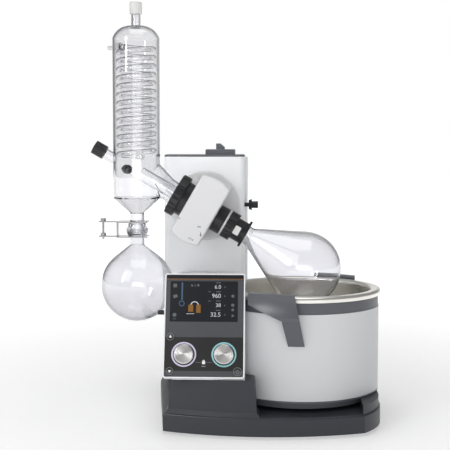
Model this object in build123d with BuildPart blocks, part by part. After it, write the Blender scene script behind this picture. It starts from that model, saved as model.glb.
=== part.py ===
from build123d import *
import os
from math import asin, atan2, cos, hypot, radians, sin

os.makedirs("parts", exist_ok=True)

# Layout, millimetres: +Z up, front towards -Y, the table at Z = 0
glass_y = -38.0  # upright plane that holds the glassware and the middle of the bath
head_x = -61.0  # drive head and its tilt pivot
head_z = 372.0
condenser_x = -178.0
bath_left = -25.0  # left side of the bath's body
drive_tilt = 30.0  # slope of the drive axis below level, degrees

# Gaps between pieces
shaft_gap = 0.05  # round running fits, on the radius
slip_gap = 0.3  # pieces that seat without moving
free_gap = 0.5  # pieces that pass each other
glass_gap = 11.5  # air left round the receiving flask
bath_gap = 3.8  # air left round the bath

# Base
foot_r = 12.0
foot_h = 5.0
foot_bevel = 1.2
foot_in = 27.0  # foot centres, in from the base's corners
base_h = 31.0
base_wall = 3.0
base_plate_t = 2.0
base_side = 2.0  # base past the panel's left edge
base_front_corner = 150.0  # forward of the glass plane
base_front_middle = 182.0
base_corner_in = 34.0  # front right corner, in from the rounded end
base_end_in = 1.0  # rounded end round the bath, in from the bath's body
base_end_sweep = 64.0
base_tail = 5.0  # base behind the column and past its sides
base_tail_left = 4.0
base_tail_right = 11.0
base_edge_r = 3.0
base_end_run = 56.0  # straight side beside the bath, ahead of its middle
base_corner_out = 8.4  # how far the front right corner bows out
end_wall_w = 37.0  # raised wall at the rounded end
inlet_w = 30.0
inlet_h = 22.0
inlet_depth = 20.0
inlet_rim = 3.0
inlet_pin_w = 2.0
inlet_pin_h = 4.0
inlet_pin_apart = 7.0
inlet_across = 30.0

# Pedestal and console
pedestal_h = 60.0
pedestal_bevel = 10.0
pedestal_bevel_draft = 38.0
pedestal_draft = 5.0
pedestal_side = 29.5  # pedestal past the panel's right edge
console_wall = 3.0
console_fall = 18.0  # how far the console's top drops towards the tower

# Control panel
panel_x = -47.8
panel_ahead = 144.5  # middle of the face, forward of the glass plane
panel_rise = 89.2  # middle of the face, above the pedestal
panel_w = 136.5
panel_h = 178.0
panel_t = 14.0
panel_lean = 19.4
panel_corner = 4.0
panel_edge = 0.7
panel_rim = 2.2
panel_back_t = 2.5
fascia_t = 3.0
display_side = 11.25  # display in from the panel's sides, top and foot
display_top = 13.6
display_below = 95.4
display_t = 5.0
display_across = -1.3
board_t = 1.6
encoder_side = 15.0
knob_r = 16.5
knob_h = 6.0
knob_apart = 67.2
knob_rise = 39.8  # knobs and buttons above the panel's foot
knob_bevel = 1.5
knob_dish_r = 11.5
knob_dish = 0.75
knob_shaft_r = 3.0
light_ring_gap = 1.9
light_ring_t = 2.4
button_r = 6.6
standby_r = 7.4
button_proud = 1.2
button_edge = 0.4
button_travel = 1.0
button_side = 11.6
button_top_rise = 69.2
button_low_rise = 11.4
port_disc_r = 23.0
port_disc_t = 3.0
port_edge = 1.0
port_ahead = 88.0
port_past = 15.5  # nozzle's tip past the panel's left edge
port_z = 197.5

# Tower: a shell that rides up and down in front of a fixed column
tower_x = -63.0
tower_w = 152.0
tower_d = 80.0
tower_behind = 105.0  # front face, behind the glass plane
tower_wall = 2.5
tower_rise = 44.0  # tower's foot above the base
tower_above = 92.0  # tower's top above the drive head's middle
tower_corner = 9.0
cap_t = 4.0
cap_bevel = 2.0
column_w = 160.0
column_d = 66.0
column_wall = 4.0
column_short = 6.0  # column's top below the tower's
column_gap = 2.0
rod_r = 8.0
rod_in = 14.0
screw_r = 7.0
bracket_t = 14.0
carriage_side = 14.0
carriage_behind = 18.0
carriage_h = 70.0
carriage_room = 84.0  # carriage above the lower bracket
lead_nut_r = 13.0
motor_side = 56.0
lift_motor_h = 56.0
socket_w = 56.0
socket_d = 34.0
socket_h = 10.0
socket_edge = 2.0
socket_across = 30.0
socket_behind = 27.0
hump_w = 16.0
hump_d = 22.0
hump_h = 11.0
hump_low = 4.0

# Tilt pivot and its lock
pivot_r = 16.0
pivot_block = 68.0
pivot_block_d = 52.0
retainer_r = 22.0
retainer_t = 4.0
lock_r = 4.0
lock_knob_r = 11.0
lock_knob_l = 18.0
lock_skirt_r = 8.8
lock_skirt_l = 6.0
lock_waist_r = 6.6
lock_stem = 8.0

# Drive head
drum_r = 63.0
drum_band = 56.0
drum_front = 45.0  # ahead of the glass plane
drum_back = 90.0
drum_wall = 3.0
drum_edge = 4.0
flange_r = 65.0
hub_r = 18.0
hub_bore = 14.5
bearing_r = 27.0
bearing_w = 8.0
boss_wall = 4.0
pulley_r = 28.0
pulley_w = 10.0
pulley_at = 4.0
belt_t = 1.6
motor_r = 24.0
motor_l = 22.0
motor_back = 58.0
motor_shaft_r = 3.0
pinion_r = 11.0

# Spinning side: collar, clip, vapour tube and evaporating flask
collar_r = 25.0
collar_gap = 1.0
collar_l = 18.0
seal_ring_t = 2.0
clip_r = 25.5
clip_apart = 4.0  # clip from the collar
clip_grip_l = 17.0
clip_waist_r = 20.0
clip_waist_l = 24.0
clip_lip_t = 4.0
clip_latch_w = 16.0
clip_latch_l = 11.0
neck_r = 17.0
neck_in = 5.0  # neck inside the clip, and past it
neck_past = 8.0
bulb_r = 66.6
bulb_past = 113.0  # middle of the bulb from the neck's end
flask_wall = 2.2
tube_r = 12.5
tube_wall = 2.0
tube_short = 8.1  # where the tube ends, before the condenser's middle
tube_in = 4.0

# Coupling side: collar, nut and glass flange
mate_r = 31.5
mate_t = 12.0
spigot_r = 29.0
spigot_l = 7.0
nut_r = 38.5
nut_t = 17.0
nut_lip_t = 6.0
nut_bevel = 1.5
nut_scallops = 12
nut_scallop_r = 7.0
arm_r = 20.5
arm_root_r = 35.0
arm_flange_r = 25.0
arm_flange_t = 3.4

# Condenser
jacket_r = 42.0
glass_wall = 2.5
jacket_rise = 19.0  # foot of the straight jacket, above the drive head's middle
jacket_l = 285.0
dome_h = 22.0
dome_shoulder_r = 33.6
dome_shoulder_h = 13.6
throat_r = 13.0
throat_l = 28.0
cone_h = 26.0
top_neck_r = 8.5
top_neck_l = 36.0
top_cap_r = 11.0
top_cap_t = 6.0
top_cap_skirt = 15.0
cap_ribs = 20
cap_rib_r = 1.0
cap_rib_out = 0.5
feed_r = 9.5
feed_l = 80.9  # from the condenser's middle, along the drive axis
feed_cap_r = 12.5
feed_cap_t = 7.0
feed_cap_l = 22.0
coil_r = 31.0
coil_tube_r = 5.0
coil_wall = 1.2
coil_whole_turns = 13
coil_stub_r = 4.0
stub_r = 6.5
stub_l = 10.0
nozzle_cap_r = 8.5
nozzle_cap_l = 12.0
nozzle_r = 4.0
nozzle_bore = 2.4
nozzle_l = 18.0
outlet_rise = 272.0  # nozzles above the foot of the straight jacket
inlet_rise = 75.0
vacuum_rise = 51.0
outlet_angle = 140.0  # nozzles round the condenser, from +X towards the back
inlet_angle = 90.0
vacuum_angle = 120.0

# Ball joint, clamp and receiving flask
ball_r = 17.5
ball_up = 9.0
ball_down = 8.0
cup_wall = 3.2
receiver_r = 65.5
receiver_drop = 103.0  # middle of the flask, below the ball joint
receiver_neck_l = 30.0
fork_t = 2.0
fork_over = 10.5  # forks above and below the ball joint's middle
fork_under = 16.0
fork_w = 42.0
fork_reach = 20.5
fork_tail = 69.0
spacer_at = 35.0
spacer_w = 14.0
spacer_t = 3.0
thumb_at = 61.5
thumb_r = 5.0
thumb_pin_r = 2.0

# Heating bath, from the pan outwards
pan_r = 126.0
pan_wall = 1.5
pan_depth = 145.0
pan_corner = 14.0
bath_h = 193.0  # skirt's foot to the rim's top
rim_over = 4.0  # rim past the ring
rim_in_r = 6.0
rim_out_r = 5.0
rim_drop = 10.0
ring_apart = 7.0  # ring from the pan
ring_t = 7.0
ring_h = 30.0
body_out = 1.0  # body past the ring
body_wall = 2.5
skirt_in = 13.0  # skirt in from the body
skirt_wall = 3.0
skirt_rise = 4.0
skirt_h = 15.0
heater_in = 18.0  # heating plate in from the pan's wall
heater_t = 8.0
heater_post_r = 5.0
heater_post_in = 22.0
heater_posts = 3
grip_rise = 5.5  # top of the grips, above the rim
grip_top_w = 15.0
grip_flare = 10.0  # how far the scooped face runs out
grip_scoop_r = 50.0
grip_band = 8.5
grip_wall = 5.0
grip_left = 91.0  # ends of the front grip, left of the bath's middle
grip_right = 13.0
grip_left_h = 19.5
grip_right_h = 42.5
grip_start = -131.0
grip_sweep = 46.0
grip_turn = 172.0  # from the front grip to the back one
web_sweep = 7.0
leg_h = 88.5
leg_left = 34.7  # left edge of the leg where it leaves the grip
leg_lean = 17.8
leg_foot_w = 27.9
leg_foot_t = 6.0
leg_sweep = 22.0

# Places worked out from the layout
base_top = foot_h + base_h
pedestal_top = base_top + pedestal_h
panel_left = panel_x - panel_w / 2
panel_right = panel_x + panel_w / 2
panel_z = pedestal_top + panel_rise
display_w = panel_w - 2 * display_side
display_h = panel_h - display_top - display_below
display_up = (display_below - display_top) / 2
knob_up = knob_rise - panel_h / 2
light_ring_in = knob_r + light_ring_gap
light_ring_r = light_ring_in + light_ring_t
button_across = panel_w / 2 - button_side
button_top_up = button_top_rise - panel_h / 2
button_low_up = button_low_rise - panel_h / 2
tower_low = base_top + tower_rise
tower_top = head_z + tower_above
column_top = tower_top - column_short
bracket_low = base_top + lift_motor_h
carriage_low = bracket_low + bracket_t + carriage_room
carriage_w = column_w - 2 * column_wall - 2 * carriage_side
carriage_d = column_gap + column_d - column_wall - carriage_behind
rod_apart = carriage_w - 2 * rod_in
base_left = panel_left - base_side
base_back = tower_behind + tower_d + column_gap + column_d + base_tail
tail_left = tower_x - column_w / 2 - base_tail_left
tail_right = tower_x + column_w / 2 + base_tail_right
pedestal_right = panel_right + pedestal_side
collar_start = drum_band / 2 + collar_gap
collar_end = collar_start + collar_l
clip_start = collar_end + clip_apart
clip_step = clip_start + clip_grip_l
clip_end = clip_step + clip_waist_l
neck_start = clip_start + neck_in
neck_end = clip_end + neck_past
bulb_at = neck_end + bulb_past
tube_end = clip_end - tube_in
skirt_low = base_top + skirt_rise
body_low = skirt_low + skirt_h
rim_top = skirt_low + bath_h
pan_floor = rim_top - pan_depth
ring_low = rim_top - ring_h
ring_in = pan_r + ring_apart
ring_r = ring_in + ring_t
rim_r = ring_r + rim_over
body_r = ring_r + body_out
bath_x = bath_left + body_r
skirt_r = body_r - skirt_in
heater_r = pan_r - heater_in
base_end_r = body_r - base_end_in
base_right_corner = bath_x + base_end_r - base_corner_in
jacket_low = head_z + jacket_rise
jacket_high = jacket_low + jacket_l
top_neck_z = jacket_high + dome_h + top_neck_l
top_cap_low = top_neck_z - top_cap_skirt
top_cap_high = top_neck_z + top_cap_t
throat_z = jacket_low - cone_h
ball_z = throat_z - throat_l
receiver_z = ball_z - receiver_drop
receiver_neck_low = ball_z - receiver_neck_l
fork_upper_z = ball_z + fork_over
fork_lower_z = ball_z - fork_under
nozzle_places = {  # height, and angle round the condenser
    "coolant_outlet": (jacket_low + outlet_rise, outlet_angle),
    "coolant_inlet": (jacket_low + inlet_rise, inlet_angle),
    "vacuum_nozzle": (jacket_low + vacuum_rise, vacuum_angle),
}
tower_front = glass_y + tower_behind
tower_back = tower_front + tower_d
column_front = tower_back + column_gap
column_back = column_front + column_d
rod_y = column_front + column_d / 2
rod_top = column_top - column_wall
bracket_high = rod_top - bracket_t
panel_y = glass_y - panel_ahead
knob_lift = free_gap
console_left = condenser_x + receiver_r + glass_gap
bath_room = rim_r + bath_gap
head_centre = Vector(head_x, glass_y, head_z)
drive_dir = Vector(cos(radians(drive_tilt)), 0, -sin(radians(drive_tilt)))
drive_axis = Axis(head_centre, drive_dir)
drive_section = Plane(origin=head_centre, x_dir=drive_dir, z_dir=(0, -1, 0))
condenser_axis = Axis((condenser_x, glass_y, 0), (0, 0, 1))
condenser_section = Plane(origin=(condenser_x, glass_y, 0), x_dir=(1, 0, 0), z_dir=(0, -1, 0))
condenser_at = (condenser_x - head_x) / cos(radians(drive_tilt))
tube_start = condenser_at + tube_short
feed_end = condenser_at - feed_l
feed_cap_start = feed_end - feed_cap_t
bath_axis = Axis((bath_x, glass_y, 0), (0, 0, 1))
bath_section = Plane(origin=(bath_x, glass_y, 0), x_dir=(1, 0, 0), z_dir=(0, -1, 0))
panel_face = Plane(
    origin=(panel_x, panel_y, panel_z),
    x_dir=(1, 0, 0),
    z_dir=(0, -cos(radians(panel_lean)), sin(radians(panel_lean))),
)
band_half = drum_band / 2
band_inner = band_half - drum_wall
mate_end = -band_half - mate_t
nut_start = mate_end - nut_t
seat_start = mate_end - spigot_l
arm_start = seat_start - slip_gap


def drive_station(along):
    """The plane square to the drive axis at a distance along it."""
    return Plane(origin=head_centre + drive_dir * along, x_dir=(0, 1, 0), z_dir=drive_dir)


def outline(section, points):
    """A closed face on a plane, given by its corner points."""
    with BuildSketch(section) as face:
        with BuildLine():
            Polyline(*points, close=True)
        make_face()
    return face.sketch


def ring(section, start, end, inner, outer):
    """The half section of a ring: a rectangle between two stations and two radii."""
    return outline(section, [(start, inner), (end, inner), (end, outer), (start, outer)])


def upright_ring(section, low, high, inner, outer):
    """The half section of a ring about an upright axis."""
    return outline(section, [(inner, low), (outer, low), (outer, high), (inner, high)])


def panel_point(up, out):
    """Y and Z of a point above the panel's middle and out from its face."""
    lean = radians(panel_lean)
    return (panel_y + up * sin(lean) - out * cos(lean), panel_z + up * cos(lean) + out * sin(lean))


def bath_ray(angle):
    """The upright plane through the bath's axis at an angle, radius against height."""
    turn = radians(angle)
    return Plane(
        origin=(bath_x, glass_y, 0),
        x_dir=(cos(turn), sin(turn), 0),
        z_dir=(sin(turn), -cos(turn), 0),
    )


def base_plan(height, inset):
    """The base's outline at a height, drawn in by an inset."""
    end_y = glass_y
    middle = radians(base_end_sweep / 2)
    finish = radians(base_end_sweep)
    front_left = (base_left, glass_y - base_front_corner)
    front_right = (base_right_corner, glass_y - base_front_corner)
    front_middle = ((base_left + base_right_corner) / 2, glass_y - base_front_middle)
    end_right = (bath_x + base_end_r, end_y - base_end_run)
    corner_x = (base_right_corner + bath_x + base_end_r) / 2 + base_corner_out
    corner_y = (front_right[1] + end_right[1]) / 2 - base_edge_r
    end_start = (bath_x + base_end_r, end_y)
    end_middle = (bath_x + base_end_r * cos(middle), end_y + base_end_r * sin(middle))
    end_finish = (bath_x + base_end_r * cos(finish), end_y + base_end_r * sin(finish))
    back_y = glass_y + base_back
    with BuildSketch(Plane.XY.offset(height)) as plan:
        with BuildLine():
            ThreePointArc(front_left, front_middle, front_right)
            ThreePointArc(front_right, (corner_x, corner_y), end_right)
            Line(end_right, end_start)
            ThreePointArc(end_start, end_middle, end_finish)
            Line(end_finish, (tail_right, back_y))
            Line((tail_right, back_y), (tail_left, back_y))
            Line((tail_left, back_y), (tail_left, tower_front))
            Line((tail_left, tower_front), front_left)
        make_face()
        if inset:
            offset(amount=-inset, mode=Mode.REPLACE)
    return plan.sketch


def flask_section(section, neck_from, neck_to, neck, bulb_centre, bulb):
    """Half section of a flask: a neck, a cone tangent to the bulb, and the bulb's arc."""
    away = hypot(bulb_centre - neck_to, neck)
    side = 1 if bulb_centre > neck_to else -1
    slope = asin(bulb / away) - atan2(neck, abs(bulb_centre - neck_to))
    touch = (bulb_centre - side * bulb * sin(slope), bulb * cos(slope))
    belly = (bulb_centre + side * bulb * sin(slope / 2), bulb * cos(slope / 2))
    end = (bulb_centre + side * bulb, 0)
    with BuildSketch(section) as face:
        with BuildLine():
            Polyline((neck_from, 0), (neck_from, neck), (neck_to, neck), touch)
            ThreePointArc(touch, belly, end)
            Line(end, (neck_from, 0))
        make_face()
    return face.sketch


# Feet
foot_places = [
    (base_left + foot_in, glass_y - base_front_corner + foot_in),
    (base_right_corner - foot_in, glass_y - base_front_corner + foot_in),
    (tail_left + foot_in, glass_y + base_back - foot_in),
    (tail_right - foot_in, glass_y + base_back - foot_in),
    (bath_x + base_end_r - 2 * foot_in, glass_y + 2 * foot_in),
]
with BuildPart() as rubber_feet:
    with BuildSketch():
        with Locations(*foot_places):
            Circle(foot_r)
    extrude(amount=foot_h)
    chamfer(rubber_feet.edges().group_by(Axis.Z)[0], foot_bevel)
rubber_feet.part.label = "rubber_feet"
export_step(rubber_feet.part, "parts/rubber_feet.step")

# Sheet floor of the base
with BuildPart() as base_plate:
    extrude(base_plan(foot_h, base_wall + slip_gap), amount=base_plate_t)
base_plate.part.label = "base_plate"
export_step(base_plate.part, "parts/base_plate.step")

# Base moulding with the raised wall round the bath's end and the seat below the bath
inlet_x = tower_x + inlet_across
inlet_z = foot_h + base_h / 2
with BuildPart() as base_housing:
    extrude(base_plan(foot_h, 0), amount=base_h)
    fillet(base_housing.edges().group_by(Axis.Z)[-1], base_edge_r)
    extrude(base_plan(foot_h, base_wall), amount=base_h - base_wall, mode=Mode.SUBTRACT)
    with BuildSketch(Plane.XY.offset(base_top - base_wall)):
        add(base_plan(base_top - base_wall, base_edge_r))
        with Locations((bath_x + base_end_r - end_wall_w + rim_r, glass_y)):
            Rectangle(2 * rim_r, 4 * rim_r, mode=Mode.INTERSECT)
        with Locations((bath_x, glass_y)):
            Circle(skirt_r + skirt_wall, mode=Mode.SUBTRACT)
    extrude(amount=body_low - skirt_wall - base_top + base_wall - slip_gap)
    with BuildSketch(Plane.XY.offset(base_top)):
        with Locations((bath_x, glass_y)):
            Circle(heater_r)
    extrude(amount=skirt_low - base_top)
    with Locations((inlet_x, glass_y + base_back, inlet_z)):
        Box(inlet_w - 2 * inlet_rim, 4 * base_wall, inlet_h - 2 * inlet_rim, mode=Mode.SUBTRACT)
base_housing.part.label = "base_housing"
export_step(base_housing.part, "parts/base_housing.step")

# Mains inlet behind the base's back wall, three flat pins in a socket
with BuildPart() as mains_inlet:
    inlet_back = glass_y + base_back - base_wall - slip_gap
    with BuildSketch(Plane.XZ.offset(-inlet_back)):
        with Locations((inlet_x, inlet_z)):
            RectangleRounded(inlet_w, inlet_h, inlet_rim)
    extrude(amount=inlet_depth)
    with BuildSketch(Plane.XZ.offset(-inlet_back)):
        with Locations((inlet_x, inlet_z)):
            RectangleRounded(inlet_w - 2 * inlet_rim, inlet_h - 2 * inlet_rim, inlet_rim)
    extrude(amount=inlet_depth - inlet_rim, mode=Mode.SUBTRACT)
    with BuildSketch(Plane.XZ.offset(inlet_depth - inlet_rim - inlet_back)):
        with Locations((inlet_x - inlet_pin_apart, inlet_z - inlet_pin_w)):
            Rectangle(inlet_pin_w, inlet_pin_h)
        with Locations((inlet_x + inlet_pin_apart, inlet_z - inlet_pin_w)):
            Rectangle(inlet_pin_w, inlet_pin_h)
        with Locations((inlet_x, inlet_z + inlet_pin_w)):
            Rectangle(inlet_pin_w, inlet_pin_h)
    extrude(amount=-inlet_depth / 2)
mains_inlet.part.label = "mains_inlet"
export_step(mains_inlet.part, "parts/mains_inlet.step")

# Dark pedestal under the console, following the base's front curve
def pedestal_plan(inset):
    """The pedestal's foot: the base's plan, cut to the console's width."""
    depth = base_front_middle + tower_behind - 2 * base_edge_r
    middle_y = glass_y + (tower_behind - base_front_middle) / 2
    with BuildSketch(Plane.XY.offset(base_top)) as plan:
        add(base_plan(base_top, base_edge_r))
        with Locations(((base_left + pedestal_right) / 2, middle_y)):
            Rectangle(pedestal_right - base_left - 2 * base_edge_r, depth, mode=Mode.INTERSECT)
        if inset:
            offset(amount=-inset, mode=Mode.REPLACE)
    return plan.sketch


with BuildPart() as pedestal:
    extrude(pedestal_plan(0), amount=pedestal_bevel, taper=pedestal_bevel_draft)
    extrude(pedestal_plan(pedestal_bevel / 2), amount=pedestal_top - base_top, taper=pedestal_draft)
    extrude(
        pedestal_plan(pedestal_bevel / 2 + console_wall),
        amount=pedestal_top - base_top - console_wall,
        taper=pedestal_draft,
        mode=Mode.SUBTRACT,
    )
    with Locations((bath_x, glass_y, (base_top + pedestal_top) / 2)):
        Cylinder(bath_room, 2 * pedestal_top, mode=Mode.SUBTRACT)
pedestal.part.label = "pedestal"
export_step(pedestal.part, "parts/pedestal.step")

# Light console between the panel and the tower, clear of the receiving flask and hollowed round the bath


def console_block(wall):
    """The console's form, drawn in by a wall and open below."""
    lean = radians(panel_lean)
    inward = panel_t + slip_gap + wall
    low_up = (pedestal_top - panel_z + inward * sin(lean)) / cos(lean)
    back_y = tower_front - 2 * free_gap - wall
    top_front = panel_point(panel_h / 2 - wall, -inward)
    with BuildPart() as block:
        with BuildSketch(Plane.YZ.offset(console_left + wall)):
            with BuildLine():
                Polyline(
                    (panel_point(low_up, -inward)[0], pedestal_top),
                    top_front,
                    (back_y, top_front[1] - console_fall),
                    (back_y, pedestal_top),
                    close=True,
                )
            make_face()
        extrude(amount=panel_right - console_left - 2 * wall)
        with Locations((bath_x, glass_y, panel_z)):
            Cylinder(bath_room + wall, 2 * panel_h, mode=Mode.SUBTRACT)
    return block.part


with BuildPart() as console_housing:
    add(console_block(0))
    add(console_block(console_wall), mode=Mode.SUBTRACT)
console_housing.part.label = "console_housing"
export_step(console_housing.part, "parts/console_housing.step")

# Hose port on the console's left wall, long enough to reach past the panel
port_tip = panel_left - port_past
with BuildPart() as side_port:
    with BuildSketch(Plane.YZ.offset(console_left)):
        with Locations((glass_y - port_ahead, port_z)):
            Circle(port_disc_r)
    extrude(amount=-port_disc_t)
    fillet(side_port.edges().group_by(Axis.X)[0], port_edge)
    with BuildSketch(Plane.YZ.offset(port_tip)):
        with Locations((glass_y - port_ahead, port_z)):
            Circle(nozzle_r)
            Circle(nozzle_bore, mode=Mode.SUBTRACT)
    extrude(amount=console_left - port_disc_t - port_tip)
side_port.part.label = "side_port"
export_step(side_port.part, "parts/side_port.step")

# Panel frame, a shallow tray that holds the fascia, display and board
knob_places = [(-knob_apart / 2, knob_up), (knob_apart / 2, knob_up)]
button_places = {
    "up_button": (-button_across, button_top_up, button_r),
    "down_button": (-button_across, button_low_up, button_r),
    "standby_button": (button_across, button_low_up, standby_r),
}
tray_w = panel_w - 2 * panel_rim
tray_h = panel_h - 2 * panel_rim
with BuildPart() as panel_frame:
    with BuildSketch(panel_face):
        RectangleRounded(panel_w, panel_h, panel_corner)
    extrude(amount=-panel_t)
    fillet(panel_frame.faces().sort_by(Axis.Y)[0].edges(), panel_edge)
    with BuildSketch(panel_face):
        RectangleRounded(tray_w, tray_h, panel_rim)
    extrude(amount=-panel_t + panel_back_t, mode=Mode.SUBTRACT)
panel_frame.part.label = "panel_frame"
export_step(panel_frame.part, "parts/panel_frame.step")

with BuildPart() as fascia:
    with BuildSketch(panel_face):
        RectangleRounded(tray_w - 2 * slip_gap, tray_h - 2 * slip_gap, panel_rim)
        with Locations((display_across, display_up)):
            Rectangle(display_w + 2 * slip_gap, display_h + 2 * slip_gap, mode=Mode.SUBTRACT)
        with Locations(*knob_places):
            Circle(light_ring_r + slip_gap, mode=Mode.SUBTRACT)
        for across, up, radius in button_places.values():
            with Locations((across, up)):
                Circle(radius + slip_gap, mode=Mode.SUBTRACT)
    extrude(amount=-fascia_t)
fascia.part.label = "fascia"
export_step(fascia.part, "parts/fascia.step")

with BuildPart() as display:
    with BuildSketch(panel_face):
        with Locations((display_across, display_up)):
            Rectangle(display_w, display_h)
    extrude(amount=-display_t)
display.part.label = "display"
export_step(display.part, "parts/display.step")

# Circuit board on the tray's floor, with an encoder behind each knob and a switch behind each button
tray_floor = panel_t - panel_back_t
encoder_top = tray_floor - fascia_t - slip_gap
with BuildPart() as control_board:
    with BuildSketch(panel_face.offset(-tray_floor)):
        Rectangle(tray_w - 2 * panel_rim, tray_h - 2 * panel_rim)
    extrude(amount=board_t)
    with BuildSketch(panel_face.offset(-tray_floor)):
        with Locations(*knob_places):
            Rectangle(encoder_side, encoder_side)
    extrude(amount=encoder_top)
    with BuildSketch(panel_face.offset(-tray_floor)):
        for across, up, radius in button_places.values():
            with Locations((across, up)):
                Circle(radius / 2)
    extrude(amount=tray_floor - fascia_t - button_travel - slip_gap)
    with BuildSketch(panel_face.offset(-tray_floor)):
        with Locations(*knob_places):
            Circle(knob_shaft_r + shaft_gap)
    extrude(amount=tray_floor, mode=Mode.SUBTRACT)
control_board.part.label = "control_board"
export_step(control_board.part, "parts/control_board.step")

# Light guides round the knobs
with BuildPart() as light_rings:
    with BuildSketch(panel_face):
        with Locations(*knob_places):
            Circle(light_ring_r)
            Circle(light_ring_in, mode=Mode.SUBTRACT)
    extrude(amount=-fascia_t)
    with BuildSketch(panel_face.offset(-fascia_t)):
        with Locations(*knob_places):
            Circle(light_ring_r)
            Circle(knob_shaft_r + free_gap, mode=Mode.SUBTRACT)
    extrude(amount=fascia_t / 2)
light_rings.part.label = "light_rings"
export_step(light_rings.part, "parts/light_rings.step")

# Turning knobs, a bevelled metal cap on a shaft that reaches into the encoder
for name, place in zip(("rotation_knob", "heating_knob"), knob_places):
    with BuildPart() as knob:
        with BuildSketch(panel_face.offset(knob_lift)):
            with Locations(place):
                Circle(knob_r)
        extrude(amount=knob_h)
        chamfer(knob.edges().group_by(Axis(panel_face.origin, panel_face.z_dir))[-1], knob_bevel)
        with BuildSketch(panel_face.offset(knob_lift + knob_h)):
            with Locations(place):
                Circle(knob_dish_r)
        extrude(amount=-knob_dish, mode=Mode.SUBTRACT)
        with BuildSketch(panel_face.offset(knob_lift)):
            with Locations(place):
                Circle(knob_shaft_r)
        extrude(amount=-encoder_top)
    knob.part.label = name
    export_step(knob.part, f"parts/{name}.step")

# Push buttons, flat discs that stand proud of the fascia
for name, (across, up, radius) in button_places.items():
    with BuildPart() as button:
        with BuildSketch(panel_face.offset(-fascia_t)):
            with Locations((across, up)):
                Circle(radius)
        extrude(amount=fascia_t + button_proud)
        fillet(button.edges().group_by(Axis(panel_face.origin, panel_face.z_dir))[-1], button_edge)
    button.part.label = name
    export_step(button.part, f"parts/{name}.step")

# Fixed column behind the tower shell, a channel open to the front and closed on top
column_y = column_front + column_d / 2
with BuildPart() as column:
    with BuildSketch(Plane.XY.offset(base_top)):
        with Locations((tower_x, column_y)):
            RectangleRounded(column_w, column_d, tower_corner / 2)
    extrude(amount=column_top + cap_t - base_top)
    chamfer(column.edges().group_by(Axis.Z)[-1], cap_bevel)
    with BuildSketch(Plane.XY.offset(base_top)):
        with Locations((tower_x, column_y - column_wall)):
            Rectangle(column_w - 2 * column_wall, column_d)
    extrude(amount=column_top - base_top, mode=Mode.SUBTRACT)
column.part.label = "column"
export_step(column.part, "parts/column.step")

# Brackets that hold the guide rods and carry the lead screw
rod_places = [(tower_x - rod_apart / 2, rod_y), (tower_x + rod_apart / 2, rod_y)]
bracket_w = column_w - 2 * column_wall - 2 * slip_gap
bracket_d = column_d - column_wall - slip_gap - 2 * column_gap
with BuildPart() as guide_brackets:
    with BuildSketch(Plane.XY):
        with Locations((tower_x, column_back - column_wall - slip_gap - bracket_d / 2)):
            Rectangle(bracket_w, bracket_d)
        with Locations(*rod_places):
            Circle(rod_r + shaft_gap, mode=Mode.SUBTRACT)
        with Locations((tower_x, rod_y)):
            Circle(screw_r + shaft_gap, mode=Mode.SUBTRACT)
    bracket_face = guide_brackets.pending_faces[0]
    extrude(bracket_face.moved(Location((0, 0, bracket_low))), amount=bracket_t)
    extrude(bracket_face.moved(Location((0, 0, bracket_high))), amount=bracket_t)
guide_brackets.part.label = "guide_brackets"
export_step(guide_brackets.part, "parts/guide_brackets.step")

with BuildPart() as guide_rods:
    with BuildSketch(Plane.XY.offset(base_top)):
        with Locations(*rod_places):
            Circle(rod_r)
    extrude(amount=rod_top - base_top)
guide_rods.part.label = "guide_rods"
export_step(guide_rods.part, "parts/guide_rods.step")

with BuildPart() as lift_motor:
    with BuildSketch(Plane.XY.offset(base_top)):
        with Locations((tower_x, rod_y)):
            RectangleRounded(motor_side, motor_side, screw_r / 2)
    extrude(amount=lift_motor_h - slip_gap)
    with BuildSketch(Plane.XY.offset(bracket_low - slip_gap)):
        with Locations((tower_x, rod_y)):
            Circle(screw_r + free_gap)
    extrude(amount=-screw_r, mode=Mode.SUBTRACT)
lift_motor.part.label = "lift_motor"
export_step(lift_motor.part, "parts/lift_motor.step")

with BuildPart() as lead_screw:
    with BuildSketch(Plane.XY.offset(bracket_low - screw_r + free_gap)):
        with Locations((tower_x, rod_y)):
            Circle(screw_r)
    extrude(amount=rod_top - bracket_low + screw_r - 2 * free_gap)
lead_screw.part.label = "lead_screw"
export_step(lead_screw.part, "parts/lead_screw.step")

# Carriage that runs on the rods and the screw and carries the tower shell
with BuildPart() as carriage:
    with BuildSketch(Plane.XY.offset(carriage_low)):
        with Locations((tower_x, tower_back + carriage_d / 2)):
            Rectangle(carriage_w, carriage_d)
        with Locations((tower_x, rod_y)):
            Circle(lead_nut_r)
        with Locations(*rod_places):
            Circle(rod_r + shaft_gap, mode=Mode.SUBTRACT)
        with Locations((tower_x, rod_y)):
            Circle(screw_r + shaft_gap, mode=Mode.SUBTRACT)
    extrude(amount=carriage_h)
carriage.part.label = "carriage"
export_step(carriage.part, "parts/carriage.step")

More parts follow.
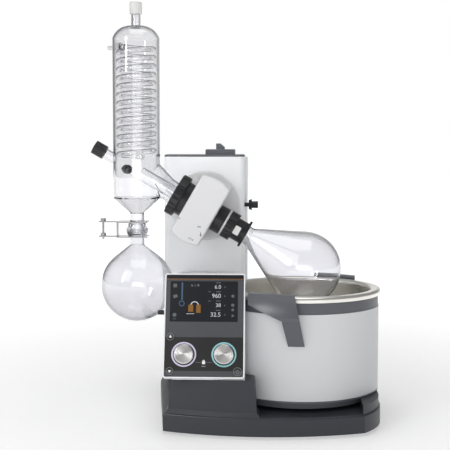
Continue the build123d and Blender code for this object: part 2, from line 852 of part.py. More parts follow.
# Tower shell, a sheet box open below, with the pivot and lock holes
tower_right = tower_x + tower_w / 2
lock_y = tower_front + tower_wall + pivot_block_d / 2
with BuildPart() as tower_shell:
    with BuildSketch(Plane.XY.offset(tower_low)):
        with Locations((tower_x, tower_front + tower_d / 2)):
            Rectangle(tower_w, tower_d)
    extrude(amount=tower_top - tower_low)
    fillet(tower_shell.edges().filter_by(Axis.Z).group_by(Axis.Y)[0], tower_corner)
    with BuildSketch(Plane.XY.offset(tower_low)):
        with Locations((tower_x, tower_front + tower_d / 2)):
            Rectangle(tower_w - 2 * tower_wall, tower_d - 2 * tower_wall)
            fillet_corners = tower_corner - tower_wall
    inner = extrude(amount=tower_top - tower_low, mode=Mode.PRIVATE)
    add(inner.fillet(fillet_corners, inner.edges().filter_by(Axis.Z).group_by(Axis.Y)[0]), mode=Mode.SUBTRACT)
    with Locations(Plane(origin=(head_x, tower_front, head_z), z_dir=(0, -1, 0))):
        Cylinder(pivot_r + free_gap, 4 * tower_wall, mode=Mode.SUBTRACT)
    with Locations(Plane(origin=(tower_right, lock_y, head_z), z_dir=(1, 0, 0))):
        Cylinder(lock_r + free_gap, 4 * tower_wall, mode=Mode.SUBTRACT)
tower_shell.part.label = "tower_shell"
export_step(tower_shell.part, "parts/tower_shell.step")

with BuildPart() as tower_cap:
    with BuildSketch(Plane.XY.offset(tower_top)):
        with Locations((tower_x, tower_front + tower_d / 2)):
            Rectangle(tower_w, tower_d)
    extrude(amount=cap_t)
    fillet(tower_cap.edges().filter_by(Axis.Z).group_by(Axis.Y)[0], tower_corner)
    chamfer(tower_cap.edges().group_by(Axis.Z)[-1], cap_bevel)
tower_cap.part.label = "tower_cap"
export_step(tower_cap.part, "parts/tower_cap.step")

# Socket block on the tower's top, a low plinth with a sloping hood
cap_top = tower_top + cap_t
socket_x = tower_x + socket_across
socket_y = tower_front + socket_behind
with BuildPart() as socket_block:
    with Locations((socket_x, socket_y, cap_top + socket_h / 2)):
        Box(socket_w, socket_d, socket_h)
    fillet(socket_block.edges().group_by(Axis.Z)[-1], socket_edge)
    with BuildSketch(Plane.XZ.offset(-socket_y - hump_d / 2)):
        with BuildLine():
            Polyline(
                (socket_x - hump_w / 2, cap_top + socket_h / 2),
                (socket_x - hump_w / 2, cap_top + socket_h + hump_h),
                (socket_x, cap_top + socket_h + hump_h),
                (socket_x + hump_w / 2, cap_top + socket_h + hump_low),
                (socket_x + hump_w / 2, cap_top + socket_h / 2),
                close=True,
            )
        make_face()
    extrude(amount=hump_d)
socket_block.part.label = "socket_block"
export_step(socket_block.part, "parts/socket_block.step")

# Bearing block behind the shell's front wall, bored for the pivot and the lock
with BuildPart() as pivot_housing:
    with Locations((head_x, lock_y, head_z)):
        Box(pivot_block, pivot_block_d, pivot_block)
    with Locations(Plane(origin=(head_x, lock_y, head_z), z_dir=(0, 1, 0))):
        Cylinder(pivot_r + shaft_gap, 2 * pivot_block_d, mode=Mode.SUBTRACT)
    with Locations(Plane(origin=(head_x + pivot_block / 2, lock_y, head_z), z_dir=(1, 0, 0))):
        Cylinder(lock_r + shaft_gap, pivot_block, mode=Mode.SUBTRACT)
pivot_housing.part.label = "pivot_housing"
export_step(pivot_housing.part, "parts/pivot_housing.step")

# Lock knob on the tower's right side, a stem with a flared grip
with BuildPart() as tilt_lock_knob:
    lock_section = Plane(origin=(0, lock_y, head_z), x_dir=(1, 0, 0), z_dir=(0, -1, 0))
    grip_from = tower_right + lock_stem
    revolve(
        outline(
            lock_section,
            [
                (head_x + pivot_r + free_gap, 0),
                (head_x + pivot_r + free_gap, lock_r),
                (grip_from, lock_r),
                (grip_from, lock_skirt_r),
                (grip_from + lock_skirt_l, lock_knob_r),
                (grip_from + lock_skirt_l, lock_waist_r),
                (grip_from + lock_knob_l, lock_waist_r),
                (grip_from + lock_knob_l, 0),
            ],
        ),
        axis=Axis((0, lock_y, head_z), (1, 0, 0)),
    )
tilt_lock_knob.part.label = "tilt_lock_knob"
export_step(tilt_lock_knob.part, "parts/tilt_lock_knob.step")

# Tilt flange behind the drive head, its pivot shaft runs through the tower's bearing block
flange_front = glass_y + drum_back + slip_gap
flange_back = tower_front - free_gap
pivot_end = tower_front + tower_wall + pivot_block_d + free_gap
with BuildPart() as tilt_flange:
    pivot_section = Plane(origin=(head_x, 0, head_z), x_dir=(0, 1, 0), z_dir=(1, 0, 0))
    pivot_axis = Axis((head_x, 0, head_z), (0, 1, 0))
    revolve(ring(pivot_section, flange_front, flange_back, 0, flange_r), axis=pivot_axis)
    revolve(ring(pivot_section, flange_back, pivot_end, 0, pivot_r), axis=pivot_axis)
    revolve(ring(pivot_section, pivot_end, pivot_end + retainer_t, 0, retainer_r), axis=pivot_axis)
    fillet(tilt_flange.edges().group_by(Axis.Y)[0], drum_edge / 2)
tilt_flange.part.label = "tilt_flange"
export_step(tilt_flange.part, "parts/tilt_flange.step")

# Drive head housing: a drum with two flat sides, open behind, with a bearing seat in each side
bearing_in = band_inner - bearing_w


def drum_plan(start, inset):
    """The drum's face: a circle cut to a band square to the drive axis."""
    with BuildSketch(Plane(origin=(head_x, start, head_z), x_dir=drive_dir, z_dir=(0, -1, 0))) as plan:
        Circle(drum_r - inset)
        Rectangle(drum_band - 2 * inset, 2 * drum_r, mode=Mode.INTERSECT)
    return plan.sketch


drum_face = glass_y - drum_front
with BuildPart() as drum_housing:
    extrude(drum_plan(drum_face, 0), amount=-(drum_front + drum_back))
    fillet(drum_housing.edges().group_by(Axis.Y)[0], drum_edge)
    hollow = drum_plan(drum_face + drum_wall, drum_wall)
    extrude(hollow, amount=-(drum_front + drum_back), mode=Mode.SUBTRACT)
    for start, end in ((-band_inner, -bearing_in), (bearing_in, band_inner)):
        seat = ring(drive_section, start, end, bearing_r + shaft_gap, bearing_r + boss_wall)
        revolve(seat, axis=drive_axis)
    shaft_hole = ring(drive_section, -drum_band, drum_band, 0, hub_r + free_gap)
    revolve(shaft_hole, axis=drive_axis, mode=Mode.SUBTRACT)
drum_housing.part.label = "drum_housing"
export_step(drum_housing.part, "parts/drum_housing.step")

with BuildPart() as shaft_bearings:
    for start, end in ((-band_inner + slip_gap, -bearing_in), (bearing_in, band_inner - slip_gap)):
        revolve(ring(drive_section, start, end, hub_r + shaft_gap, bearing_r), axis=drive_axis)
shaft_bearings.part.label = "shaft_bearings"
export_step(shaft_bearings.part, "parts/shaft_bearings.step")

# Hollow drive shaft with its belt pulley
pulley_start = pulley_at - pulley_w / 2
pulley_end = pulley_at + pulley_w / 2
with BuildPart() as drive_shaft:
    revolve(ring(drive_section, -band_half, collar_end - seal_ring_t, hub_bore, hub_r), axis=drive_axis)
    revolve(ring(drive_section, pulley_start, pulley_end, hub_bore, pulley_r), axis=drive_axis)
drive_shaft.part.label = "drive_shaft"
export_step(drive_shaft.part, "parts/drive_shaft.step")

# Motor behind the shaft, its pinion and the belt
motor_start = -band_inner + slip_gap
motor_section = Plane(origin=head_centre + Vector(0, motor_back, 0), x_dir=drive_dir, z_dir=(0, -1, 0))
motor_axis = Axis(head_centre + Vector(0, motor_back, 0), drive_dir)
with BuildPart() as drive_motor:
    revolve(
        ring(motor_section, motor_start, motor_start + motor_l, motor_shaft_r + shaft_gap, motor_r),
        axis=motor_axis,
    )
drive_motor.part.label = "drive_motor"
export_step(drive_motor.part, "parts/drive_motor.step")

with BuildPart() as motor_pinion:
    revolve(ring(motor_section, motor_start + free_gap, pulley_end, 0, motor_shaft_r), axis=motor_axis)
    revolve(ring(motor_section, pulley_start, pulley_end, 0, pinion_r), axis=motor_axis)
motor_pinion.part.label = "motor_pinion"
export_step(motor_pinion.part, "parts/motor_pinion.step")

with BuildPart() as drive_belt:
    with BuildSketch(drive_station(pulley_start + belt_t)):
        with BuildSketch(mode=Mode.PRIVATE) as loop:
            Circle(pulley_r + slip_gap)
            with Locations((motor_back, 0)):
                Circle(pinion_r + slip_gap)
            make_hull()
        add(loop.sketch)
        offset(amount=belt_t, mode=Mode.REPLACE)
        add(loop.sketch, mode=Mode.SUBTRACT)
    extrude(amount=pulley_w - 2 * belt_t)
drive_belt.part.label = "drive_belt"
export_step(drive_belt.part, "parts/drive_belt.step")

# Spinning side of the head: collar, seal ring and the ribbed clip that holds the flask
with BuildPart() as drive_collar:
    revolve(ring(drive_section, collar_start, collar_end, hub_r + shaft_gap, collar_r), axis=drive_axis)
    chamfer(drive_collar.edges().filter_by(GeomType.CIRCLE).sort_by(SortBy.RADIUS)[-2:], seal_ring_t / 2)
drive_collar.part.label = "drive_collar"
export_step(drive_collar.part, "parts/drive_collar.step")

with BuildPart() as seal_ring:
    revolve(
        ring(drive_section, collar_end + slip_gap, clip_start - slip_gap, neck_r, collar_r - seal_ring_t),
        axis=drive_axis,
    )
seal_ring.part.label = "seal_ring"
export_step(seal_ring.part, "parts/seal_ring.step")

clip_bore = neck_r + slip_gap
with BuildPart() as flask_clip:
    revolve(ring(drive_section, clip_start, clip_step, clip_bore, clip_r), axis=drive_axis)
    revolve(ring(drive_section, clip_step, clip_end, clip_bore, clip_waist_r), axis=drive_axis)
    revolve(ring(drive_section, clip_end - clip_lip_t, clip_end, clip_bore, clip_r), axis=drive_axis)
    with BuildSketch(drive_station(clip_start)):
        with PolarLocations(clip_r + clip_lip_t / 2, nut_scallops):
            Circle(clip_lip_t)
    extrude(amount=clip_step - clip_start - clip_lip_t, mode=Mode.SUBTRACT)
flask_clip.part.label = "flask_clip"
export_step(flask_clip.part, "parts/flask_clip.step")

with BuildPart() as clip_latch:
    latch_from = clip_step + slip_gap
    latch_face = Plane(
        origin=head_centre + drive_dir * (latch_from + clip_latch_l / 2),
        x_dir=drive_dir,
        z_dir=(0, -1, 0),
    )
    with BuildSketch(latch_face.offset(clip_waist_r + slip_gap)):
        RectangleRounded(clip_latch_l, clip_latch_w, clip_lip_t / 2)
    extrude(amount=clip_lip_t)
clip_latch.part.label = "clip_latch"
export_step(clip_latch.part, "parts/clip_latch.step")

with BuildPart() as vapour_tube:
    revolve(ring(drive_section, tube_start, tube_end, tube_r - tube_wall, tube_r), axis=drive_axis)
    cone_r = neck_r - flask_wall - slip_gap
    cone_start = neck_start + free_gap
    cone_end = tube_end - tube_wall
    revolve(ring(drive_section, cone_start, cone_end, tube_r - tube_wall, cone_r), axis=drive_axis)
vapour_tube.part.label = "vapour_tube"
export_step(vapour_tube.part, "parts/vapour_tube.step")

with BuildPart() as evaporating_flask:
    revolve(flask_section(drive_section, neck_start, neck_end, neck_r, bulb_at, bulb_r), axis=drive_axis)
    revolve(
        flask_section(
            drive_section,
            neck_start - flask_wall,
            neck_end,
            neck_r - flask_wall,
            bulb_at,
            bulb_r - flask_wall,
        ),
        axis=drive_axis,
        mode=Mode.SUBTRACT,
    )
evaporating_flask.part.label = "evaporating_flask"
export_step(evaporating_flask.part, "parts/evaporating_flask.step")

# Coupling side: fixed collar, vapour seal and the union nut that pulls the glass flange in
seal_r = hub_r - free_gap
with BuildPart() as mate_collar:
    revolve(ring(drive_section, mate_end, -band_half - slip_gap, seal_r + shaft_gap, mate_r), axis=drive_axis)
    revolve(ring(drive_section, seat_start, mate_end, seal_r + shaft_gap, spigot_r), axis=drive_axis)
mate_collar.part.label = "mate_collar"
export_step(mate_collar.part, "parts/mate_collar.step")

with BuildPart() as vapour_seal:
    revolve(
        ring(drive_section, seat_start + slip_gap, -band_half - free_gap, tube_r + shaft_gap, seal_r),
        axis=drive_axis,
    )
vapour_seal.part.label = "vapour_seal"
export_step(vapour_seal.part, "parts/vapour_seal.step")

lip_end = nut_start + nut_lip_t
with BuildPart() as coupling_nut:
    revolve(ring(drive_section, nut_start, mate_end - slip_gap, arm_r + free_gap, nut_r), axis=drive_axis)
    revolve(
        ring(drive_section, lip_end, mate_end, 0, spigot_r + shaft_gap),
        axis=drive_axis,
        mode=Mode.SUBTRACT,
    )
    chamfer(coupling_nut.edges().filter_by(GeomType.CIRCLE).sort_by(SortBy.RADIUS)[-2:], nut_bevel)
    with BuildSketch(drive_station(nut_start)):
        with PolarLocations(nut_r + nut_scallop_r / 2, nut_scallops):
            Circle(nut_scallop_r)
    extrude(amount=nut_t - nut_lip_t / 2, mode=Mode.SUBTRACT)
coupling_nut.part.label = "coupling_nut"
export_step(coupling_nut.part, "parts/coupling_nut.step")


# Condenser glass: jacket, side arm with flange, feed port and hose stubs, all one wall thick
def jacket_form(wall):
    """The condenser's outer form drawn in by a wall, with its open ends run through."""
    open_end = 2 * wall
    mouth = throat_r - wall
    low = throat_z - wall / 2
    with BuildPart() as form:
        with BuildSketch(condenser_section):
            with BuildLine():
                Polyline(
                    (0, ball_z - ball_down - open_end),
                    (mouth, ball_z - ball_down - open_end),
                    (mouth, low),
                    (jacket_r - wall, jacket_low + wall),
                    (jacket_r - wall, jacket_high),
                )
                ThreePointArc(
                    (jacket_r - wall, jacket_high),
                    (dome_shoulder_r - wall, jacket_high + dome_shoulder_h - wall / 2),
                    (top_neck_r - wall, jacket_high + dome_h - wall),
                )
                Polyline(
                    (top_neck_r - wall, jacket_high + dome_h - wall),
                    (top_neck_r - wall, top_neck_z + open_end),
                    (0, top_neck_z + open_end),
                    (0, ball_z - ball_down - open_end),
                )
            make_face()
        revolve(axis=condenser_axis)
        root = condenser_at + jacket_r / 2
        revolve(
            outline(
                drive_section,
                [
                    (root, 0),
                    (root, arm_root_r - wall),
                    (nut_start - arm_flange_r / 2, arm_r - wall),
                    (arm_start + open_end, arm_r - wall),
                    (arm_start + open_end, 0),
                ],
            ),
            axis=drive_axis,
        )
        revolve(ring(drive_section, feed_end - open_end, condenser_at, 0, feed_r - wall), axis=drive_axis)
        for height, angle in nozzle_places.values():
            side = Vector(cos(radians(angle)), sin(radians(angle)), 0)
            with BuildSketch(Plane(origin=(condenser_x, glass_y, height), z_dir=side)):
                Circle(stub_r - wall)
            extrude(amount=jacket_r + stub_l + open_end)
    return form.part


with BuildPart() as condenser_jacket:
    add(jacket_form(0))
    revolve(ring(drive_section, arm_start - arm_flange_t, arm_start, 0, arm_flange_r), axis=drive_axis)
    with BuildSketch(condenser_section):
        with Locations((0, ball_z)):
            Circle(ball_r)
        with Locations((ball_r / 2, ball_z + (ball_up - ball_down) / 2)):
            Rectangle(ball_r, ball_up + ball_down, mode=Mode.INTERSECT)
    revolve(axis=condenser_axis)
    add(jacket_form(glass_wall), mode=Mode.SUBTRACT)
condenser_jacket.part.label = "condenser_jacket"
export_step(condenser_jacket.part, "parts/condenser_jacket.step")

# Cooling coil, its ends turned out to the coolant stubs
outlet_z = jacket_low + outlet_rise
inlet_level = jacket_low + inlet_rise
coil_turns = coil_whole_turns + (outlet_angle - inlet_angle) / 360
coil_pitch = (outlet_z - inlet_level) / coil_turns
coil_reach = jacket_r - glass_wall - slip_gap
with BuildPart() as cooling_coil:
    coil_place = Location((condenser_x, glass_y, inlet_level), (0, 0, inlet_angle))
    coil_path = Helix(coil_pitch, outlet_z - inlet_level, coil_r, mode=Mode.PRIVATE).moved(coil_place)
    with BuildSketch(coil_path ^ 0):
        Circle(coil_tube_r)
        Circle(coil_tube_r - coil_wall, mode=Mode.SUBTRACT)
    sweep(path=coil_path, is_frenet=True)
    for height, angle in ((inlet_level, inlet_angle), (outlet_z, outlet_angle)):
        side = Vector(cos(radians(angle)), sin(radians(angle)), 0)
        with BuildSketch(Plane(origin=Vector(condenser_x, glass_y, height) + side * coil_r, z_dir=side)):
            Circle(coil_stub_r)
        extrude(amount=coil_reach - coil_r)
cooling_coil.part.label = "cooling_coil"
export_step(cooling_coil.part, "parts/cooling_coil.step")

# Ribbed screw caps on the top neck and the feed port
with BuildPart() as top_cap:
    revolve(upright_ring(condenser_section, top_cap_low, top_cap_high, 0, top_cap_r), axis=condenser_axis)
    revolve(
        upright_ring(condenser_section, top_cap_low, top_neck_z + free_gap, 0, top_neck_r + slip_gap),
        axis=condenser_axis,
        mode=Mode.SUBTRACT,
    )
    chamfer(top_cap.edges().group_by(Axis.Z)[-1], glass_wall / 2)
    with BuildSketch(Plane(origin=(condenser_x, glass_y, top_cap_low))):
        with PolarLocations(top_cap_r + cap_rib_out, cap_ribs):
            Circle(cap_rib_r)
    extrude(amount=top_cap_high - top_cap_low - glass_wall, mode=Mode.SUBTRACT)
top_cap.part.label = "top_cap"
export_step(top_cap.part, "parts/top_cap.step")

with BuildPart() as feed_cap:
    feed_cap_end = feed_cap_start + feed_cap_l
    revolve(ring(drive_section, feed_cap_start, feed_cap_end, 0, feed_cap_r), axis=drive_axis)
    revolve(
        ring(drive_section, feed_end - free_gap, feed_cap_end, 0, feed_r + slip_gap),
        axis=drive_axis,
        mode=Mode.SUBTRACT,
    )
    with BuildSketch(drive_station(feed_cap_start)):
        with PolarLocations(feed_cap_r + cap_rib_out, cap_ribs):
            Circle(cap_rib_r)
    extrude(amount=feed_cap_l - glass_wall, mode=Mode.SUBTRACT)
feed_cap.part.label = "feed_cap"
export_step(feed_cap.part, "parts/feed_cap.step")

# Hose nozzles screwed on the glass stubs
def hose_nozzle(name):
    """A screw cap with a hose end, on one of the condenser's stubs."""
    height, angle = nozzle_places[name]
    side = Vector(cos(radians(angle)), sin(radians(angle)), 0)
    root = Plane(origin=Vector(condenser_x, glass_y, height) + side * (jacket_r + free_gap), z_dir=side)
    with BuildPart() as nozzle:
        with BuildSketch(root):
            Circle(nozzle_cap_r)
        extrude(amount=nozzle_cap_l)
        with BuildSketch(root.offset(nozzle_cap_l)):
            Circle(nozzle_r)
        extrude(amount=nozzle_l)
        with BuildSketch(root):
            Circle(stub_r + slip_gap)
        extrude(amount=stub_l, mode=Mode.SUBTRACT)
        with BuildSketch(root):
            Circle(nozzle_bore)
        extrude(amount=nozzle_cap_l + nozzle_l, mode=Mode.SUBTRACT)
    return nozzle.part


with BuildPart() as coolant_nozzles:
    add(hose_nozzle("coolant_outlet"))
    add(hose_nozzle("coolant_inlet"))
coolant_nozzles.part.label = "coolant_nozzles"
export_step(coolant_nozzles.part, "parts/coolant_nozzles.step")

with BuildPart() as vacuum_nozzle:
    add(hose_nozzle("vacuum_nozzle"))
vacuum_nozzle.part.label = "vacuum_nozzle"
export_step(vacuum_nozzle.part, "parts/vacuum_nozzle.step")

# Receiving flask hung from the ball joint
receiver_section = Plane(origin=(condenser_x, glass_y, 0), x_dir=(0, 0, 1), z_dir=(0, 1, 0))
cup_low = fork_lower_z + fork_t + free_gap
with BuildPart() as receiving_flask:
    revolve(
        flask_section(receiver_section, cup_low, receiver_neck_low, throat_r, receiver_z, receiver_r),
        axis=condenser_axis,
    )
    with BuildSketch(condenser_section):
        with Locations((0, ball_z)):
            Circle(ball_r + cup_wall)
        with Locations((ball_r, (cup_low + ball_z) / 2)):
            Rectangle(2 * ball_r, ball_z - cup_low, mode=Mode.INTERSECT)
    revolve(axis=condenser_axis)
    revolve(
        flask_section(
            receiver_section,
            ball_z,
            receiver_neck_low,
            throat_r - flask_wall,
            receiver_z,
            receiver_r - flask_wall,
        ),
        axis=condenser_axis,
        mode=Mode.SUBTRACT,
    )
    with Locations((condenser_x, glass_y, ball_z)):
        Sphere(ball_r + slip_gap, mode=Mode.SUBTRACT)
receiving_flask.part.label = "receiving_flask"
export_step(receiving_flask.part, "parts/receiving_flask.step")

# Fork clamp over the ball joint and its thumbscrew
fork_slot = throat_r + free_gap
with BuildPart() as clamp_forks:
    for height in (fork_lower_z, fork_upper_z):
        with BuildSketch(Plane.XY.offset(height)):
            with Locations((condenser_x + (fork_reach - spacer_at) / 2, glass_y)):
                RectangleRounded(fork_reach + spacer_at, fork_w, fork_t)
            with Locations((condenser_x - (fork_tail + spacer_at) / 2, glass_y)):
                Rectangle(fork_tail - spacer_at, spacer_w)
            with Locations((condenser_x, glass_y)):
                Circle(fork_slot, mode=Mode.SUBTRACT)
            with Locations((condenser_x + fork_reach / 2, glass_y)):
                Rectangle(fork_reach, 2 * fork_slot, mode=Mode.SUBTRACT)
            with Locations((condenser_x - thumb_at, glass_y)):
                Circle(thumb_pin_r + shaft_gap, mode=Mode.SUBTRACT)
        extrude(amount=fork_t)
    with BuildSketch(Plane.XY.offset(fork_lower_z)):
        with Locations((condenser_x - spacer_at, glass_y)):
            Rectangle(spacer_t, spacer_w)
    extrude(amount=fork_upper_z - fork_lower_z)
clamp_forks.part.label = "clamp_forks"
export_step(clamp_forks.part, "parts/clamp_forks.step")

with BuildPart() as clamp_thumbscrew:
    thumb_low = fork_lower_z - 2 * fork_t
    thumb_high = fork_upper_z + fork_t + slip_gap
    with BuildSketch(Plane.XY.offset(thumb_low)):
        with Locations((condenser_x - thumb_at, glass_y)):
            Circle(thumb_pin_r)
    extrude(amount=thumb_high - thumb_low)
    with BuildSketch(Plane.XY.offset(thumb_high)):
        with Locations((condenser_x - thumb_at, glass_y)):
            Circle(thumb_r)
    extrude(amount=thumb_r)
    with BuildSketch(Plane.XY.offset(fork_lower_z + fork_t + slip_gap)):
        with Locations((condenser_x - thumb_at, glass_y)):
            Circle(thumb_r)
    extrude(amount=thumb_r)
clamp_thumbscrew.part.label = "clamp_thumbscrew"
export_step(clamp_thumbscrew.part, "parts/clamp_thumbscrew.step")

# Heating bath: steel pan with a rolled rim
rim_flat = rim_r - rim_out_r
rim_start = pan_r + rim_in_r


with BuildPart() as bath_pan:
    pan_low = pan_floor - pan_wall
    revolve(upright_ring(bath_section, pan_low, rim_top - rim_in_r, 0, pan_r + pan_wall), axis=bath_axis)
    fillet(bath_pan.edges().group_by(Axis.Z)[0], pan_corner + pan_wall)
    with BuildPart(mode=Mode.SUBTRACT) as pan_hollow:
        revolve(upright_ring(bath_section, pan_floor, rim_top, 0, pan_r), axis=bath_axis)
        fillet(pan_hollow.edges().group_by(Axis.Z)[0], pan_corner)
    with BuildSketch(bath_section):
        with BuildLine():
            RadiusArc((pan_r, rim_top - rim_in_r), (rim_start, rim_top), rim_in_r)
            Line((rim_start, rim_top), (rim_flat, rim_top))
            RadiusArc((rim_flat, rim_top), (rim_r, rim_top - rim_out_r), rim_out_r)
            Polyline(
                (rim_r, rim_top - rim_out_r),
                (rim_r, rim_top - rim_drop),
                (rim_r - pan_wall, rim_top - rim_drop),
                (rim_r - pan_wall, rim_top - rim_out_r),
            )
            RadiusArc(
                (rim_r - pan_wall, rim_top - rim_out_r),
                (rim_flat, rim_top - pan_wall),
                -(rim_out_r - pan_wall),
            )
            Line((rim_flat, rim_top - pan_wall), (rim_start, rim_top - pan_wall))
            RadiusArc(
                (rim_start, rim_top - pan_wall),
                (pan_r + pan_wall, rim_top - rim_in_r),
                -(rim_in_r - pan_wall),
            )
            Line((pan_r + pan_wall, rim_top - rim_in_r), (pan_r, rim_top - rim_in_r))
        make_face()
    revolve(axis=bath_axis)
bath_pan.part.label = "bath_pan"
export_step(bath_pan.part, "parts/bath_pan.step")

# Dark ring under the rim, silver body and dark skirt
with BuildPart() as bath_ring:
    revolve(
        upright_ring(bath_section, ring_low, rim_top - pan_wall - slip_gap, ring_in, ring_r),
        axis=bath_axis,
    )
bath_ring.part.label = "bath_ring"
export_step(bath_ring.part, "parts/bath_ring.step")

with BuildPart() as bath_body:
    body_top = ring_low - slip_gap
    revolve(upright_ring(bath_section, body_low, body_top, body_r - body_wall, body_r), axis=bath_axis)
    revolve(upright_ring(bath_section, body_top - body_wall, body_top, ring_in, body_r), axis=bath_axis)
bath_body.part.label = "bath_body"
export_step(bath_body.part, "parts/bath_body.step")

with BuildPart() as bath_skirt:
    skirt_top = body_low - slip_gap
    skirt_bore = skirt_r - skirt_wall
    revolve(upright_ring(bath_section, skirt_low, skirt_top, skirt_bore, skirt_r), axis=bath_axis)
    revolve(upright_ring(bath_section, skirt_low, skirt_low + skirt_wall, 0, skirt_r), axis=bath_axis)
    revolve(upright_ring(bath_section, skirt_top - skirt_wall, skirt_top, skirt_bore, body_r), axis=bath_axis)
bath_skirt.part.label = "bath_skirt"
export_step(bath_skirt.part, "parts/bath_skirt.step")

# Heating plate under the pan on three posts
heater_top = pan_floor - pan_wall - slip_gap
with BuildPart() as bath_heater:
    with BuildSketch(Plane(origin=(bath_x, glass_y, heater_top))):
        Circle(heater_r)
    extrude(amount=-heater_t)
    with BuildSketch(Plane(origin=(bath_x, glass_y, skirt_low + skirt_wall + slip_gap))):
        with PolarLocations(heater_r - heater_post_in, heater_posts):
            Circle(heater_post_r)
    extrude(until=Until.NEXT)
bath_heater.part.label = "bath_heater"
export_step(bath_heater.part, "parts/bath_heater.step")

# Grips in front of and behind the bath: a scooped hood over the ring, with an end web and a leaning leg
grip_top = rim_top + grip_rise
grip_in = rim_r + free_gap
band_r = grip_in + grip_top_w
lip_r = band_r + grip_flare
band_low = grip_top - grip_band
lip_low = grip_top - grip_right_h
lip_high = lip_low + grip_wall
seat_r = body_r + slip_gap
leg_low = grip_top - leg_h
with BuildPart() as front_grip:
    with BuildSketch(bath_ray(grip_start)):
        with BuildLine():
            Polyline((lip_r - grip_wall, lip_low), (lip_r, lip_low), (lip_r, lip_high))
            RadiusArc((lip_r, lip_high), (band_r, band_low), grip_scoop_r)
            Polyline(
                (band_r, band_low),
                (band_r, grip_top),
                (grip_in, grip_top),
                (grip_in, grip_top - grip_wall),
                (band_r - grip_wall, grip_top - grip_wall),
                (band_r - grip_wall, band_low),
            )
            RadiusArc((band_r - grip_wall, band_low), (lip_r - grip_wall, lip_low), -grip_scoop_r)
        make_face()
    revolve(axis=bath_axis, revolution_arc=grip_sweep)
    with BuildSketch(bath_ray(grip_start)):
        with BuildLine():
            Polyline(
                (seat_r, lip_low),
                (band_r, lip_low),
                (band_r, grip_top - grip_wall),
                (grip_in, grip_top - grip_wall),
                (grip_in, ring_low),
                (seat_r, ring_low),
                close=True,
            )
        make_face()
    revolve(axis=bath_axis, revolution_arc=web_sweep)
    with BuildSketch(bath_ray(grip_start + grip_sweep - leg_sweep)):
        with BuildLine():
            Polyline(
                (seat_r, leg_low),
                (seat_r + leg_foot_t, leg_low),
                (lip_r - grip_wall, lip_low),
                (band_r - grip_wall / 2, band_low),
                (grip_in, band_low),
                (grip_in, ring_low),
                (seat_r, ring_low),
                close=True,
            )
        make_face()
    revolve(axis=bath_axis, revolution_arc=leg_sweep)
    with BuildSketch(Plane.XZ.offset(-glass_y)):
        with BuildLine():
            Polyline(
                (bath_x - grip_left, grip_top - grip_left_h),
                (bath_x - leg_left, lip_low),
                (bath_x - grip_right + leg_lean - leg_foot_w, leg_low),
                (bath_x - grip_right + leg_lean, leg_low),
                (bath_x - grip_right, grip_top),
                (bath_x - grip_left, grip_top),
                close=True,
            )
        make_face()
    extrude(amount=lip_r + grip_wall, mode=Mode.INTERSECT)
with BuildPart() as bath_handles:
    add(front_grip.part)
    add(front_grip.part.rotate(bath_axis, grip_turn))
bath_handles.part.label = "bath_handles"
export_step(bath_handles.part, "parts/bath_handles.step")
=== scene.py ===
from math import pi, radians

import bpy
from mathutils import Matrix, Vector


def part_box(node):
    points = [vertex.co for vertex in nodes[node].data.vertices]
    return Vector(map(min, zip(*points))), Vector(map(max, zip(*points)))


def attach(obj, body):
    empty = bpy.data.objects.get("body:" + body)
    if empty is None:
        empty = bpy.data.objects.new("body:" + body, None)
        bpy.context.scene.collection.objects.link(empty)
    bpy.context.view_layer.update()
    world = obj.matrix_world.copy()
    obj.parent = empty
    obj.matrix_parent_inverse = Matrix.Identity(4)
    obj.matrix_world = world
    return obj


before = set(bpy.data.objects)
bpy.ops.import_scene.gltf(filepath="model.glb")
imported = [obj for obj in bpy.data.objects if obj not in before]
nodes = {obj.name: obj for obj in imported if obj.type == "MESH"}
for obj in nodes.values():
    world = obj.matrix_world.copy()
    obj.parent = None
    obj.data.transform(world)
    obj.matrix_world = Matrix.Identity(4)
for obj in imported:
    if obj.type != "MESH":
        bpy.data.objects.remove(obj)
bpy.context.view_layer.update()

MM = 0.001

# Places shared with the CAD model, in metres
PANEL_MIDDLE = Vector((-0.0478, -0.1825, 0.1852))
PANEL_LEAN = radians(19.4)
HEAD_MIDDLE = Vector((-0.061, -0.038, 0.372))
DRIVE_SLOPE = radians(30.0)
DRUM_FACE_Y = -0.083
KNOB_ACROSS = 0.0336
KNOB_UP = -0.0492
RING_INSIDE = 0.0181

# The dark band behind the knobs, up from the panel's middle
BAND_TOP = -0.0202
BAND_FOOT = -0.0768

# Places on the panel's face, in millimetres from its middle
KEY_ACROSS = 56.6
KEY_HIGH = -19.8
KEY_LOW = -77.6
KEY_PROUD = 1.2
READING_END = 27.5
READING_ROWS = (65.5, 50.0, 34.0, 18.0)
LABEL_RISE = 7.5
SIGN_LEFT = -50.7
SIGN_RIGHT = 47.5
STRIP_WIDTH = 130.6

PANEL = Matrix.Translation(PANEL_MIDDLE) @ Matrix.Rotation(pi / 2 - PANEL_LEAN, 4, "X")
DRUM_FACE = (
    Matrix.Translation((HEAD_MIDDLE.x, DRUM_FACE_Y, HEAD_MIDDLE.z))
    @ Matrix.Rotation(DRIVE_SLOPE, 4, "Y")
    @ Matrix.Rotation(pi / 2, 4, "X")
)


# Shader node groups
def start_group(name, inputs, outputs):
    group = bpy.data.node_groups.new(name, "ShaderNodeTree")
    for label, kind, value in inputs:
        socket = group.interface.new_socket(label, in_out="INPUT", socket_type=kind)
        socket.default_value = value
    for label, kind in outputs:
        group.interface.new_socket(label, in_out="OUTPUT", socket_type=kind)
    entry = group.nodes.new("NodeGroupInput")
    leave = group.nodes.new("NodeGroupOutput")
    return group, entry, leave


